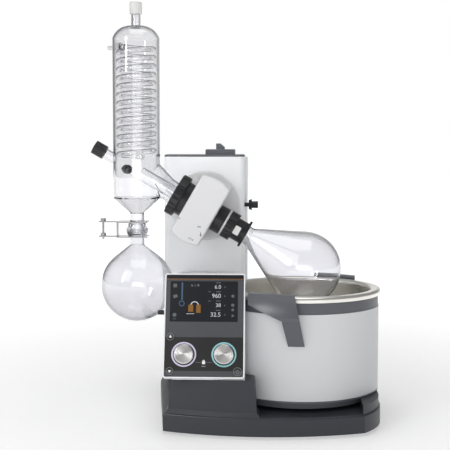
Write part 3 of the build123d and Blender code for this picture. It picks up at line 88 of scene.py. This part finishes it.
def noise_node(tree, coords, scale, detail, rough=0.55):
    node = tree.nodes.new("ShaderNodeTexNoise")
    node.inputs["Scale"].default_value = scale
    node.inputs["Detail"].default_value = detail
    node.inputs["Roughness"].default_value = rough
    tree.links.new(coords, node.inputs["Vector"])
    return node


def spread(tree, value, low, high):
    node = tree.nodes.new("ShaderNodeMapRange")
    node.inputs["To Min"].default_value = low
    node.inputs["To Max"].default_value = high
    tree.links.new(value, node.inputs["Value"])
    return node.outputs["Result"]


def multiply(tree, first, second):
    node = tree.nodes.new("ShaderNodeMath")
    node.operation = "MULTIPLY"
    tree.links.new(first, node.inputs[0])
    tree.links.new(second, node.inputs[1])
    return node.outputs[0]


def shade_colour(tree, colour, factor):
    """A colour times a factor that varies round one."""
    node = tree.nodes.new("ShaderNodeVectorMath")
    node.operation = "SCALE"
    tree.links.new(colour, node.inputs[0])
    tree.links.new(factor, node.inputs["Scale"])
    return node.outputs[0]


def blend(tree, factor, first, second):
    node = tree.nodes.new("ShaderNodeMix")
    node.data_type = "RGBA"
    node.inputs["A"].default_value = (*first, 1.0)
    node.inputs["B"].default_value = (*second, 1.0)
    tree.links.new(factor, node.inputs["Factor"])
    return node.outputs["Result"]


def make_moulded_grain():
    """Fine grain and slight colour drift of moulded or painted surfaces."""
    group, entry, leave = start_group(
        "moulded_grain",
        [
            ("Colour", "NodeSocketColor", (0.5, 0.5, 0.5, 1.0)),
            ("Roughness", "NodeSocketFloat", 0.5),
            ("Drift", "NodeSocketFloat", 0.06),
        ],
        [("Colour", "NodeSocketColor"), ("Roughness", "NodeSocketFloat"), ("Height", "NodeSocketFloat")],
    )
    coords = group.nodes.new("ShaderNodeTexCoord").outputs["Object"]
    fine = noise_node(group, coords, 1400.0, 2.0)
    broad = noise_node(group, coords, 14.0, 3.0)
    centred = spread(group, broad.outputs["Fac"], -1.0, 1.0)
    drift = multiply(group, centred, entry.outputs["Drift"])
    around_one = group.nodes.new("ShaderNodeMath")
    around_one.inputs[1].default_value = 1.0
    group.links.new(drift, around_one.inputs[0])
    group.links.new(shade_colour(group, entry.outputs["Colour"], around_one.outputs[0]), leave.inputs["Colour"])
    worn = spread(group, broad.outputs["Fac"], 0.86, 1.14)
    group.links.new(multiply(group, worn, entry.outputs["Roughness"]), leave.inputs["Roughness"])
    group.links.new(fine.outputs["Fac"], leave.inputs["Height"])
    return group


def make_machined_lines():
    """Thin lines left by turning, drawing or brushing, along a stretched direction."""
    group, entry, leave = start_group(
        "machined_lines",
        [
            ("Colour", "NodeSocketColor", (0.6, 0.6, 0.6, 1.0)),
            ("Roughness", "NodeSocketFloat", 0.25),
            ("Stretch", "NodeSocketVector", (1.0, 1.0, 40.0)),
        ],
        [("Colour", "NodeSocketColor"), ("Roughness", "NodeSocketFloat"), ("Height", "NodeSocketFloat")],
    )
    coords = group.nodes.new("ShaderNodeTexCoord").outputs["Object"]
    stretched = group.nodes.new("ShaderNodeVectorMath")
    stretched.operation = "MULTIPLY"
    group.links.new(coords, stretched.inputs[0])
    group.links.new(entry.outputs["Stretch"], stretched.inputs[1])
    lines = noise_node(group, stretched.outputs[0], 26.0, 5.0, 0.65)
    smudge = noise_node(group, coords, 22.0, 3.0)
    tone = spread(group, lines.outputs["Fac"], 0.86, 1.10)
    group.links.new(shade_colour(group, entry.outputs["Colour"], tone), leave.inputs["Colour"])
    worn = spread(group, smudge.outputs["Fac"], 0.7, 1.35)
    group.links.new(multiply(group, worn, entry.outputs["Roughness"]), leave.inputs["Roughness"])
    group.links.new(lines.outputs["Fac"], leave.inputs["Height"])
    return group


def make_water_marks():
    """Faint drying marks and films on glass."""
    group, entry, leave = start_group(
        "water_marks",
        [("Amount", "NodeSocketFloat", 0.04)],
        [("Roughness", "NodeSocketFloat")],
    )
    coords = group.nodes.new("ShaderNodeTexCoord").outputs["Object"]
    film = noise_node(group, coords, 34.0, 4.0)
    group.links.new(
        multiply(group, spread(group, film.outputs["Fac"], 0.0, 1.0), entry.outputs["Amount"]),
        leave.inputs["Roughness"],
    )
    return group


GRAIN = make_moulded_grain()
LINES = make_machined_lines()
MARKS = make_water_marks()


# Materials
GRAIN_DEPTH = 0.0002
LINE_DEPTH = 0.0001
GLASS_IOR = 1.47
RING_LAVENDER = (0.50, 0.46, 0.58)
RING_TEAL = (0.22, 0.44, 0.46)
FILM_GREY = (0.062, 0.065, 0.072)
FILM_DARK = (0.016, 0.016, 0.016)


def blank_material(name):
    material = bpy.data.materials.new(name)
    material.use_nodes = True
    return material, material.node_tree, material.node_tree.nodes["Principled BSDF"]


def place_group(tree, group, values):
    node = tree.nodes.new("ShaderNodeGroup")
    node.node_tree = group
    for label, value in values.items():
        node.inputs[label].default_value = value
    return node


def relief(tree, shader, height, strength, distance):
    bump = tree.nodes.new("ShaderNodeBump")
    bump.inputs["Strength"].default_value = strength
    bump.inputs["Distance"].default_value = distance
    tree.links.new(height, bump.inputs["Height"])
    tree.links.new(bump.outputs["Normal"], shader.inputs["Normal"])


def grained(name, colour, rough, drift, strength):
    """Moulded plastic or powder paint with a fine grain."""
    material, tree, shader = blank_material(name)
    grain = place_group(tree, GRAIN, {"Colour": (*colour, 1.0), "Roughness": rough, "Drift": drift})
    tree.links.new(grain.outputs["Colour"], shader.inputs["Base Color"])
    tree.links.new(grain.outputs["Roughness"], shader.inputs["Roughness"])
    relief(tree, shader, grain.outputs["Height"], strength, GRAIN_DEPTH)
    return material


def machined(name, colour, rough, stretch):
    """Bare metal with the lines of its making."""
    material, tree, shader = blank_material(name)
    values = {"Colour": (*colour, 1.0), "Roughness": rough, "Stretch": stretch}
    lines = place_group(tree, LINES, values)
    tree.links.new(lines.outputs["Colour"], shader.inputs["Base Color"])
    tree.links.new(lines.outputs["Roughness"], shader.inputs["Roughness"])
    relief(tree, shader, lines.outputs["Height"], 0.2, LINE_DEPTH)
    shader.inputs["Metallic"].default_value = 1.0
    return material


def clear_glass(name, colour, outline_shade_colour, amount):
    """Borosilicate glass with faint films, darker where the wall is seen along its length: partly the longer path
    through the wall, mostly painted shade standing in for dark surroundings seen in the glass.
    """
    material, tree, shader = blank_material(name)
    marks = place_group(tree, MARKS, {"Amount": amount})
    tree.links.new(marks.outputs["Roughness"], shader.inputs["Roughness"])
    # Painted shade: the colour runs to the outline shade as the surface turns away from view.
    facing = tree.nodes.new("ShaderNodeLayerWeight")
    edge = tree.nodes.new("ShaderNodeMapRange")
    edge.inputs["From Min"].default_value = 0.55
    edge.inputs["From Max"].default_value = 0.95
    tree.links.new(facing.outputs["Facing"], edge.inputs["Value"])
    tree.links.new(blend(tree, edge.outputs["Result"], colour, outline_shade_colour), shader.inputs["Base Color"])
    shader.inputs["Transmission Weight"].default_value = 1.0
    shader.inputs["IOR"].default_value = GLASS_IOR
    return material


def lit(name, colour, strength):
    """A lit part of the display."""
    material, tree, shader = blank_material(name)
    grain = place_group(tree, GRAIN, {"Colour": (*colour, 1.0), "Roughness": 0.3, "Drift": 0.04})
    tree.links.new(grain.outputs["Colour"], shader.inputs["Base Color"])
    tree.links.new(grain.outputs["Colour"], shader.inputs["Emission Color"])
    tree.links.new(grain.outputs["Roughness"], shader.inputs["Roughness"])
    shader.inputs["Emission Strength"].default_value = strength
    return material


BASE_GREY = grained("base_grey_moulding", (0.022, 0.025, 0.032), 0.40, 0.06, 0.3)
TRIM_GREY = grained("trim_grey_moulding", (0.080, 0.085, 0.098), 0.36, 0.05, 0.3)
TOWER_PAINT = grained("tower_paint", (0.78, 0.79, 0.805), 0.42, 0.02, 0.12)
# The console's paint is a lighter copy of the tower's grey: painted light on the shelf that the drive head
# shades.
CONSOLE_PAINT_LIGHTENED = grained("console_paint_lightened", (0.90, 0.90, 0.91), 0.42, 0.02, 0.12)
HEAD_PAINT = grained("head_paint", (0.62, 0.62, 0.63), 0.34, 0.02, 0.1)
BATH_PAINT = grained("bath_silver_paint", (0.55, 0.56, 0.575), 0.36, 0.03, 0.2)
BLACK_PLASTIC = grained("black_plastic", (0.012, 0.012, 0.014), 0.36, 0.08, 0.3)
SCREEN_BLACK = grained("screen_black", (0.006, 0.007, 0.010), 0.3, 0.05, 0.02)
RUBBER = grained("foot_rubber", (0.012, 0.012, 0.012), 0.7, 0.1, 0.5)
PALE = grained("pale_polymer", (0.62, 0.62, 0.61), 0.4, 0.03, 0.15)
BOARD = grained("circuit_board", (0.02, 0.12, 0.05), 0.4, 0.1, 0.2)
BRIGHT_STEEL = machined("bright_steel", (0.60, 0.60, 0.61), 0.16, (1.0, 1.0, 24.0))
PAN_STEEL = machined("pan_steel", (0.86, 0.84, 0.79), 0.30, (1.0, 1.0, 30.0))
CLAMP_STEEL = machined("clamp_steel", (0.36, 0.36, 0.37), 0.18, (1.0, 1.0, 24.0))
CAST_METAL = machined("milled_aluminium", (0.55, 0.55, 0.56), 0.35, (1.0, 1.0, 18.0))
# The flask and jacket glass are tinted greyer than clear borosilicate: painted shade for the grey seen through
# them. The second colour of each is the painted outline shade.
FLASK_GLASS = clear_glass("flask_glass", (0.845, 0.845, 0.868), (0.16, 0.17, 0.18), 0.02)
JACKET_GLASS = clear_glass("jacket_glass", (0.905, 0.905, 0.922), (0.16, 0.17, 0.18), 0.02)
INNER_GLASS = clear_glass("inner_glass", (0.985, 0.985, 0.990), (0.62, 0.62, 0.64), 0.05)


# Finishes that follow the panel and its knobs
def panel_places(tree):
    """Metres across and up the panel's face, from its middle."""
    coords = tree.nodes.new("ShaderNodeTexCoord").outputs["Object"]
    offset = tree.nodes.new("ShaderNodeVectorMath")
    offset.operation = "SUBTRACT"
    offset.inputs[1].default_value = PANEL_MIDDLE
    tree.links.new(coords, offset.inputs[0])
    places = []
    for direction in ((1.0, 0.0, 0.0), (0.0, 1.0, 0.0)):
        along = tree.nodes.new("ShaderNodeVectorMath")
        along.operation = "DOT_PRODUCT"
        along.inputs[1].default_value = PANEL.to_3x3() @ Vector(direction)
        tree.links.new(offset.outputs[0], along.inputs[0])
        places.append(along.outputs["Value"])
    return places


def with_number(tree, operation, value, number):
    node = tree.nodes.new("ShaderNodeMath")
    node.operation = operation
    node.inputs[1].default_value = number
    tree.links.new(value, node.inputs[0])
    return node.outputs[0]


def make_ring_lights():
    """Light guides: pale lavender round the left knob, teal round the right one, dark under the knobs."""
    material, tree, shader = blank_material("ring_lights")
    across, up = panel_places(tree)
    side = with_number(tree, "GREATER_THAN", across, 0.0)
    from_middle = tree.nodes.new("ShaderNodeMath")
    from_middle.operation = "ABSOLUTE"
    tree.links.new(across, from_middle.inputs[0])
    spoke = tree.nodes.new("ShaderNodeCombineXYZ")
    tree.links.new(with_number(tree, "SUBTRACT", from_middle.outputs[0], KNOB_ACROSS), spoke.inputs["X"])
    tree.links.new(with_number(tree, "SUBTRACT", up, KNOB_UP), spoke.inputs["Y"])
    radius = tree.nodes.new("ShaderNodeVectorMath")
    radius.operation = "LENGTH"
    tree.links.new(spoke.outputs[0], radius.inputs[0])
    outer = with_number(tree, "GREATER_THAN", radius.outputs["Value"], RING_INSIDE)
    colour = shade_colour(tree, blend(tree, side, RING_LAVENDER, RING_TEAL), outer)
    tree.links.new(colour, shader.inputs["Base Color"])
    tree.links.new(colour, shader.inputs["Emission Color"])
    shader.inputs["Emission Strength"].default_value = 0.25
    shader.inputs["Roughness"].default_value = 0.3
    return material


def make_fascia():
    """Grey film with a darker band behind the knobs."""
    material, tree, shader = blank_material("fascia_film")
    up = panel_places(tree)[1]
    under = with_number(tree, "LESS_THAN", up, BAND_TOP)
    over = with_number(tree, "GREATER_THAN", up, BAND_FOOT)
    grain = place_group(tree, GRAIN, {"Roughness": 0.36, "Drift": 0.04})
    tree.links.new(blend(tree, multiply(tree, under, over), FILM_GREY, FILM_DARK), grain.inputs["Colour"])
    tree.links.new(grain.outputs["Colour"], shader.inputs["Base Color"])
    tree.links.new(grain.outputs["Roughness"], shader.inputs["Roughness"])
    relief(tree, shader, grain.outputs["Height"], 0.1, GRAIN_DEPTH)
    return material


def spun(name, node):
    """Metal turned on a lathe: fine rings round a knob's own axis."""
    low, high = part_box(node)
    material, tree, shader = blank_material(name)
    coords = tree.nodes.new("ShaderNodeTexCoord").outputs["Object"]
    offset = tree.nodes.new("ShaderNodeVectorMath")
    offset.operation = "SUBTRACT"
    offset.inputs[1].default_value = (low + high) / 2
    tree.links.new(coords, offset.inputs[0])
    lever = tree.nodes.new("ShaderNodeVectorMath")
    lever.operation = "CROSS_PRODUCT"
    lever.inputs[1].default_value = PANEL.to_3x3() @ Vector((0.0, 0.0, 1.0))
    tree.links.new(offset.outputs[0], lever.inputs[0])
    grain = tree.nodes.new("ShaderNodeVectorTransform")
    grain.vector_type = "VECTOR"
    grain.convert_from = "OBJECT"
    grain.convert_to = "WORLD"
    tree.links.new(lever.outputs[0], grain.inputs[0])
    tree.links.new(grain.outputs[0], shader.inputs["Tangent"])
    shader.inputs["Anisotropic"].default_value = 0.85
    shader.inputs["Anisotropic Rotation"].default_value = 0.25
    radius = tree.nodes.new("ShaderNodeVectorMath")
    radius.operation = "LENGTH"
    tree.links.new(lever.outputs[0], radius.inputs[0])
    rings = tree.nodes.new("ShaderNodeTexNoise")
    rings.noise_dimensions = "1D"
    rings.inputs["Scale"].default_value = 2600.0
    rings.inputs["Detail"].default_value = 3.0
    tree.links.new(radius.outputs["Value"], rings.inputs["W"])
    shader.inputs["Base Color"].default_value = (0.80, 0.79, 0.78, 1.0)
    shader.inputs["Metallic"].default_value = 1.0
    tree.links.new(spread(tree, rings.outputs["Fac"], 0.26, 0.40), shader.inputs["Roughness"])
    relief(tree, shader, rings.outputs["Fac"], 0.15, LINE_DEPTH)
    return material


RING_LIGHTS = make_ring_lights()
FASCIA = make_fascia()
LEFT_KNOB = spun("rotation_knob_metal", "rotation_knob")
RIGHT_KNOB = spun("heating_knob_metal", "heating_knob")
COPPER = machined("copper_line", (0.30, 0.17, 0.10), 0.3, (40.0, 1.0, 1.0))
SIGN_WHITE = grained("printed_white", (0.80, 0.80, 0.80), 0.5, 0.03, 0.05)
SIGN_GREY = grained("printed_grey", (0.22, 0.22, 0.23), 0.45, 0.03, 0.05)
SCREEN_WHITE = lit("screen_white", (0.42, 0.44, 0.46), 0.30)
SCREEN_GREY = lit("screen_grey", (0.09, 0.10, 0.11), 0.25)
SCREEN_AMBER = lit("screen_amber", (0.19, 0.085, 0.015), 0.25)
SCREEN_BLUE = lit("screen_blue", (0.045, 0.085, 0.15), 0.25)

node_finish = {
    "rubber_feet": RUBBER,
    "base_plate": BRIGHT_STEEL,
    "base_housing": BASE_GREY,
    "mains_inlet": BLACK_PLASTIC,
    "pedestal": BASE_GREY,
    "console_housing": CONSOLE_PAINT_LIGHTENED,
    "side_port": BLACK_PLASTIC,
    "panel_frame": TOWER_PAINT,
    "fascia": FASCIA,
    "display": SCREEN_BLACK,
    "control_board": BOARD,
    "light_rings": RING_LIGHTS,
    "column": TOWER_PAINT,
    "guide_brackets": CAST_METAL,
    "guide_rods": BRIGHT_STEEL,
    "lift_motor": BLACK_PLASTIC,
    "bath_pan": PAN_STEEL,
    "bath_ring": TRIM_GREY,
    "bath_body": BATH_PAINT,
    "bath_skirt": TRIM_GREY,
    "bath_heater": CAST_METAL,
    "bath_handles": TRIM_GREY,
    "tower_shell": TOWER_PAINT,
    "tower_cap": TRIM_GREY,
    "socket_block": TRIM_GREY,
    "pivot_housing": CAST_METAL,
    "carriage": CAST_METAL,
    "lead_screw": BRIGHT_STEEL,
    "tilt_lock_knob": BLACK_PLASTIC,
    "rotation_knob": LEFT_KNOB,
    "heating_knob": RIGHT_KNOB,
    "up_button": FASCIA,
    "down_button": FASCIA,
    "standby_button": FASCIA,
    "tilt_flange": HEAD_PAINT,
    "drum_housing": HEAD_PAINT,
    "shaft_bearings": BRIGHT_STEEL,
    "drive_belt": RUBBER,
    "drive_motor": BLACK_PLASTIC,
    "mate_collar": BLACK_PLASTIC,
    "vapour_seal": PALE,
    "condenser_jacket": JACKET_GLASS,
    "cooling_coil": INNER_GLASS,
    "top_cap": PALE,
    "feed_cap": BLACK_PLASTIC,
    "coolant_nozzles": PALE,
    "vacuum_nozzle": BLACK_PLASTIC,
    "receiving_flask": FLASK_GLASS,
    "clamp_forks": CLAMP_STEEL,
    "coupling_nut": BLACK_PLASTIC,
    "motor_pinion": CAST_METAL,
    "drive_shaft": CAST_METAL,
    "drive_collar": BLACK_PLASTIC,
    "seal_ring": PALE,
    "flask_clip": BLACK_PLASTIC,
    "clip_latch": PALE,
    "vapour_tube": INNER_GLASS,
    "evaporating_flask": FLASK_GLASS,
    "clamp_thumbscrew": CLAMP_STEEL,
}
for name, material in node_finish.items():
    slots = nodes[name].data.materials
    slots.clear()
    slots.append(material)
    nodes[name].visible_shadow = material not in (FLASK_GLASS, JACKET_GLASS, INNER_GLASS)


# Pieces modelled here
RING_SIDES = 64
TEXT_SIZE = 1.4  # a font's size for digits one unit high


def clear_selection():
    if bpy.context.mode != "OBJECT":
        bpy.ops.object.mode_set(mode="OBJECT")
    bpy.ops.object.select_all(action="DESELECT")


def settle(piece, name, place, body, material):
    """Moves a piece from its drawing place into the machine and fixes it to a body."""
    clear_selection()
    piece.name = name
    piece.data.name = name
    piece.select_set(True)
    bpy.context.view_layer.objects.active = piece
    piece.matrix_world = place @ piece.matrix_world
    bpy.ops.object.transform_apply(location=True, rotation=True, scale=True)
    piece.data.materials.clear()
    piece.data.materials.append(material)
    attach(piece, body)
    return piece


def join_pieces(pieces):
    clear_selection()
    for piece in pieces:
        piece.select_set(True)
    bpy.context.view_layer.objects.active = pieces[0]
    bpy.ops.object.join()
    return bpy.context.object


def thicken(piece, depth, edge):
    """Extrudes a flat face up by a depth and rounds its edges."""
    clear_selection()
    piece.select_set(True)
    bpy.context.view_layer.objects.active = piece
    bpy.ops.object.mode_set(mode="EDIT")
    bpy.ops.mesh.select_all(action="SELECT")
    bpy.ops.mesh.extrude_region_move(TRANSFORM_OT_translate={"value": (0.0, 0.0, depth)})
    bpy.ops.mesh.select_all(action="SELECT")
    bpy.ops.mesh.normals_make_consistent(inside=False)
    bpy.ops.object.mode_set(mode="OBJECT")
    if edge:
        rounding = piece.modifiers.new("rounding", "BEVEL")
        rounding.width = edge
        rounding.segments = 2
        rounding.limit_method = "ANGLE"
        bpy.ops.object.modifier_apply(modifier=rounding.name)
    return piece


def flat_bar(across, up, width, height, depth, edge=0.0, turn=0.0):
    """A thin bar drawn in millimetres on a face."""
    clear_selection()
    bpy.ops.mesh.primitive_plane_add(size=1.0)
    bar = bpy.context.object
    bar.scale = (width * MM, height * MM, 1.0)
    bpy.ops.object.transform_apply(location=False, rotation=False, scale=True)
    thicken(bar, depth * MM, edge * MM)
    bar.rotation_euler = (0.0, 0.0, radians(turn))
    bar.location = (across * MM, up * MM, 0.0)
    bpy.ops.object.transform_apply(location=True, rotation=True, scale=True)
    return bar


def flat_disc(across, up, radius, depth, edge=0.0, sides=40, turn=0.0):
    """A thin disc, or a regular shape with few sides, drawn in millimetres on a face."""
    clear_selection()
    bpy.ops.mesh.primitive_circle_add(vertices=sides, radius=radius * MM, fill_type="NGON")
    disc = bpy.context.object
    thicken(disc, depth * MM, edge * MM)
    disc.rotation_euler = (0.0, 0.0, radians(turn))
    disc.location = (across * MM, up * MM, 0.0)
    bpy.ops.object.transform_apply(location=True, rotation=True, scale=True)
    return disc


def flat_ring(across, up, radius, width, depth, start=0.0, sweep=360.0):
    """A thin ring, or an arc of one, drawn in millimetres on a face."""
    clear_selection()
    bpy.ops.mesh.primitive_plane_add(size=1.0)
    strip = bpy.context.object
    strip.scale = (width * MM, depth * MM, 1.0)
    strip.rotation_euler = (pi / 2, 0.0, 0.0)
    strip.location = (radius * MM, 0.0, depth * MM / 2)
    bpy.ops.object.transform_apply(location=True, rotation=True, scale=True)
    bpy.ops.object.mode_set(mode="EDIT")
    bpy.ops.mesh.select_all(action="SELECT")
    steps = int(RING_SIDES * sweep / 360.0)
    bpy.ops.mesh.spin(steps=steps, angle=radians(sweep), center=(0.0, 0.0, 0.0), axis=(0.0, 0.0, 1.0))
    bpy.ops.mesh.select_all(action="SELECT")
    bpy.ops.mesh.remove_doubles(threshold=0.01 * MM)
    bpy.ops.mesh.select_all(action="SELECT")
    bpy.ops.mesh.normals_make_consistent(inside=False)
    bpy.ops.object.mode_set(mode="OBJECT")
    strip.rotation_euler = (0.0, 0.0, radians(start))
    strip.location = (across * MM, up * MM, 0.0)
    bpy.ops.object.transform_apply(location=True, rotation=True, scale=True)
    return strip


def flat_number(words, across, up, height, depth):
    """A reading on the display, ending at a place across."""
    clear_selection()
    bpy.ops.object.text_add()
    reading = bpy.context.object
    reading.data.body = words
    reading.data.size = height * MM * TEXT_SIZE
    reading.data.align_x = "RIGHT"
    reading.data.align_y = "CENTER"
    reading.data.extrude = depth * MM / 2
    reading.data.resolution_u = 3
    bpy.ops.object.convert(target="MESH")
    reading = bpy.context.object
    reading.location = (across * MM, up * MM, depth * MM / 2)
    bpy.ops.object.transform_apply(location=True, rotation=True, scale=True)
    return reading


def on_panel(out):
    """The panel's face moved out by millimetres."""
    return PANEL @ Matrix.Translation((0.0, 0.0, out * MM))


def dress_display():
    """Readings, signs and a small drawing of the glassware on the screen."""
    film = on_panel(0.02)
    digits = zip(("6.0", "960", "38", "32.5"), READING_ROWS, (6.6, 7.4, 6.6, 7.4))
    readings = [flat_number(words, READING_END, up, height, 0.12) for words, up, height in digits]
    settle(join_pieces(readings), "screen_readings", film, "frame", SCREEN_WHITE)
    dim = [flat_bar(23.0, up + LABEL_RISE, 8.0, 1.3, 0.1) for up in READING_ROWS]
    dim += [flat_bar(8.0, up + LABEL_RISE, 4.0, 1.2, 0.1) for up in READING_ROWS[1:3]]
    dim += [flat_bar(SIGN_LEFT, 68.0, 6.0, 6.0, 0.1, 0.04), flat_bar(-50.0, 49.5, 7.0, 5.4, 0.1, 0.04, 18.0)]
    dim += [flat_disc(SIGN_LEFT, 17.5, 3.4, 0.1, 0.0, 10), flat_bar(SIGN_LEFT, 10.6, 6.0, 0.9, 0.1)]
    dim += [flat_disc(SIGN_RIGHT, 50.0, 2.6, 0.1), flat_disc(SIGN_RIGHT, 34.5, 3.0, 0.1, 0.0, 6)]
    dim += [flat_disc(SIGN_RIGHT, 26.5, 2.3, 0.1), flat_disc(SIGN_RIGHT, 16.5, 3.2, 0.1, 0.0, 3, 30.0)]
    dim += [flat_disc(34.0, up, 1.7, 0.1, 0.0, 3, -90.0) for up in READING_ROWS]
    dim += [flat_bar(-22.0, 68.0, 2.4, 4.0, 0.1, 0.0, 20.0), flat_bar(-17.0, 68.0, 1.2, 4.2, 0.1)]
    dim += [flat_disc(-11.5, 68.5, 2.2, 0.1, 0.0, 8)]
    settle(join_pieces(dim), "screen_signs", film, "frame", SCREEN_GREY)
    amber = [flat_bar(-23.5, 29.0, 8.5, 12.0, 0.1, 0.04), flat_bar(-10.5, 28.0, 7.5, 14.0, 0.1, 0.04)]
    settle(join_pieces(amber), "screen_bath_sign", film, "frame", SCREEN_AMBER)
    glass = [flat_ring(-17.0, 33.5, 6.5, 1.6, 0.14, 165.0, 150.0), flat_bar(-24.0, 19.5, 13.0, 0.9, 0.1)]
    settle(join_pieces(glass), "screen_flask_sign", film, "frame", SCREEN_WHITE)
    tube = [flat_bar(-38.5, 58.0, 2.6, 30.0, 0.1, 0.04), flat_ring(-39.0, 37.0, 4.2, 1.5, 0.12)]
    settle(join_pieces(tube), "screen_condenser_sign", film, "frame", SCREEN_BLUE)


def dress_fascia():
    """Printed signs and the two strips above the display."""
    face = on_panel(0.0)
    strip = flat_bar(0.0, 83.1, STRIP_WIDTH, 6.2, 0.4, 0.12)
    settle(strip, "panel_top_strip", face, "frame", SCREEN_BLACK)
    line = flat_bar(0.0, 78.9, STRIP_WIDTH, 2.0, 0.5, 0.15)
    settle(line, "panel_copper_line", face, "frame", COPPER)
    key_top = on_panel(KEY_PROUD)
    up_sign = flat_disc(-KEY_ACROSS, KEY_HIGH, 3.0, 0.15, 0.0, 3)
    settle(up_sign, "up_sign", key_top, "up_key", SIGN_WHITE)
    down_sign = flat_disc(-KEY_ACROSS, KEY_LOW, 3.0, 0.15, 0.0, 3, 180.0)
    settle(down_sign, "down_sign", key_top, "down_key", SIGN_WHITE)
    rims = [("up_rim", KEY_HIGH, -KEY_ACROSS, 5.9, "up_key"), ("down_rim", KEY_LOW, -KEY_ACROSS, 5.9, "down_key")]
    rims += [("standby_rim", KEY_LOW, KEY_ACROSS, 6.6, "standby_key")]
    for name, up, across, radius, body in rims:
        rim = flat_ring(across, up, radius, 0.6, 0.2)
        settle(rim, name, key_top, body, SIGN_GREY)
    mark = [flat_ring(KEY_ACROSS, KEY_LOW, 2.7, 0.7, 0.15, 60.0, 300.0)]
    mark += [flat_bar(KEY_ACROSS, KEY_LOW + 2.0, 0.7, 3.0, 0.15)]
    settle(join_pieces(mark), "standby_sign", key_top, "standby_key", SIGN_GREY)
    lock = [flat_bar(0.0, -63.0, 5.0, 4.6, 0.12, 0.04), flat_ring(0.0, -60.7, 1.8, 1.0, 0.12, 180.0, 180.0)]
    settle(join_pieces(lock), "lock_sign", face, "frame", SIGN_WHITE)
    lines = [flat_bar(-9.0, -62.5, 9.0, 0.45, 0.1), flat_bar(9.0, -62.5, 9.0, 0.45, 0.1)]
    lines += [flat_bar(0.0, -69.0, 7.0, 1.2, 0.1)]
    settle(join_pieces(lines), "lock_lines", face, "frame", SIGN_GREY)


def dress_drum():
    """Tilt marks and the index on the drive head's face."""
    marks = [flat_bar(12.9, -25.9, 6.0, 1.4, 0.15, 0.0, 30.0), flat_disc(22.6, -37.6, 2.3, 0.15, 0.0, 3, -150.0)]
    marks += [flat_bar(21.2, -35.0, 1.0, 5.0, 0.15, 0.0, 30.0), flat_bar(-25.0, -30.2, 3.0, 1.3, 0.15)]
    marks += [flat_bar(across, -52.0, 1.0, 3.4, 0.15) for across in (7.5, 11.0, 14.5)]
    settle(join_pieces(marks), "tilt_marks", DRUM_FACE, "head", BLACK_PLASTIC)


dress_display()
dress_fascia()
dress_drum()


# Floor, light and camera
def make_floor_white():
    """Pale floor that runs out into white away from the machine."""
    material, tree, shader = blank_material("floor_white")
    shader.inputs["Base Color"].default_value = (0.88, 0.88, 0.88, 1.0)
    shader.inputs["Roughness"].default_value = 0.6
    away = tree.nodes.new("ShaderNodeVectorMath")
    away.operation = "LENGTH"
    tree.links.new(tree.nodes.new("ShaderNodeTexCoord").outputs["Object"], away.inputs[0])
    glow = tree.nodes.new("ShaderNodeMapRange")
    glow.inputs["From Min"].default_value = 0.3
    glow.inputs["From Max"].default_value = 2.0
    glow.inputs["To Min"].default_value = 0.3
    glow.inputs["To Max"].default_value = 0.9
    tree.links.new(away.outputs["Value"], glow.inputs["Value"])
    tree.links.new(glow.outputs["Result"], shader.inputs["Emission Strength"])
    shader.inputs["Emission Color"].default_value = (1.0, 1.0, 1.0, 1.0)
    return material


def make_stage():
    bpy.ops.object.select_all(action="DESELECT")
    bpy.ops.mesh.primitive_plane_add(size=24.0, location=(0.0, 0.0, -0.0005))
    floor = bpy.context.object
    floor.name = "studio_floor"
    floor.data.materials.append(make_floor_white())


def area_light(name, place, aim, size, power):
    bpy.ops.object.light_add(type="AREA", location=place)
    lamp = bpy.context.object
    lamp.name = name
    lamp.data.shape = "RECTANGLE"
    lamp.data.size = size[0]
    lamp.data.size_y = size[1]
    lamp.data.energy = power
    lamp.rotation_euler = (Vector(aim) - Vector(place)).to_track_quat("-Z", "Y").to_euler()
    return lamp


def make_camera():
    """A long lens at the photograph's height, a little to the right of the glass."""
    place = Vector((0.062, -1.982, 0.496))
    aim = Vector((-0.019, -0.038, 0.343))
    bpy.ops.object.camera_add(location=place)
    camera = bpy.context.object
    camera.name = "photo_camera"
    camera.data.lens = 86.7
    camera.data.sensor_width = 36.0
    camera.rotation_euler = (aim - place).to_track_quat("-Z", "Y").to_euler()
    bpy.context.scene.camera = camera


def make_world():
    """A white room: full light from behind the machine, softer light from the other sides."""
    world = bpy.data.worlds.new("studio")
    bpy.context.scene.world = world
    world.use_nodes = True
    tree = world.node_tree
    parts = tree.nodes.new("ShaderNodeSeparateXYZ")
    tree.links.new(tree.nodes.new("ShaderNodeTexCoord").outputs["Generated"], parts.inputs[0])
    behind = tree.nodes.new("ShaderNodeMapRange")
    behind.inputs["From Min"].default_value = 0.86
    behind.inputs["From Max"].default_value = 0.97
    behind.inputs["To Min"].default_value = 0.28
    behind.inputs["To Max"].default_value = 1.0
    tree.links.new(parts.outputs["Y"], behind.inputs["Value"])
    seen = tree.nodes.new("ShaderNodeMath")
    seen.operation = "MAXIMUM"
    tree.links.new(behind.outputs["Result"], seen.inputs[0])
    tree.links.new(tree.nodes.new("ShaderNodeLightPath").outputs["Is Camera Ray"], seen.inputs[1])
    backdrop = tree.nodes["Background"]
    backdrop.inputs["Color"].default_value = (1.0, 1.0, 1.0, 1.0)
    tree.links.new(seen.outputs[0], backdrop.inputs["Strength"])


make_stage()
make_world()
area_light("key_left", (-1.3, -1.9, 1.7), (0.0, 0.0, 0.3), (1.2, 1.6), 12.0)
area_light("top", (0.0, -0.3, 2.4), (0.0, 0.0, 0.2), (1.6, 1.6), 14.0)
front = area_light("front", (0.3, -2.7, 0.5), (0.0, 0.0, 0.35), (2.2, 0.7), 26.0)
front.visible_glossy = False
shine = area_light("shine", (-1.5, -1.5, 1.2), (-0.05, -0.15, 0.25), (0.3, 1.0), 20.0)
shine.visible_diffuse = False
make_camera()
bpy.context.scene.view_settings.view_transform = "Standard"
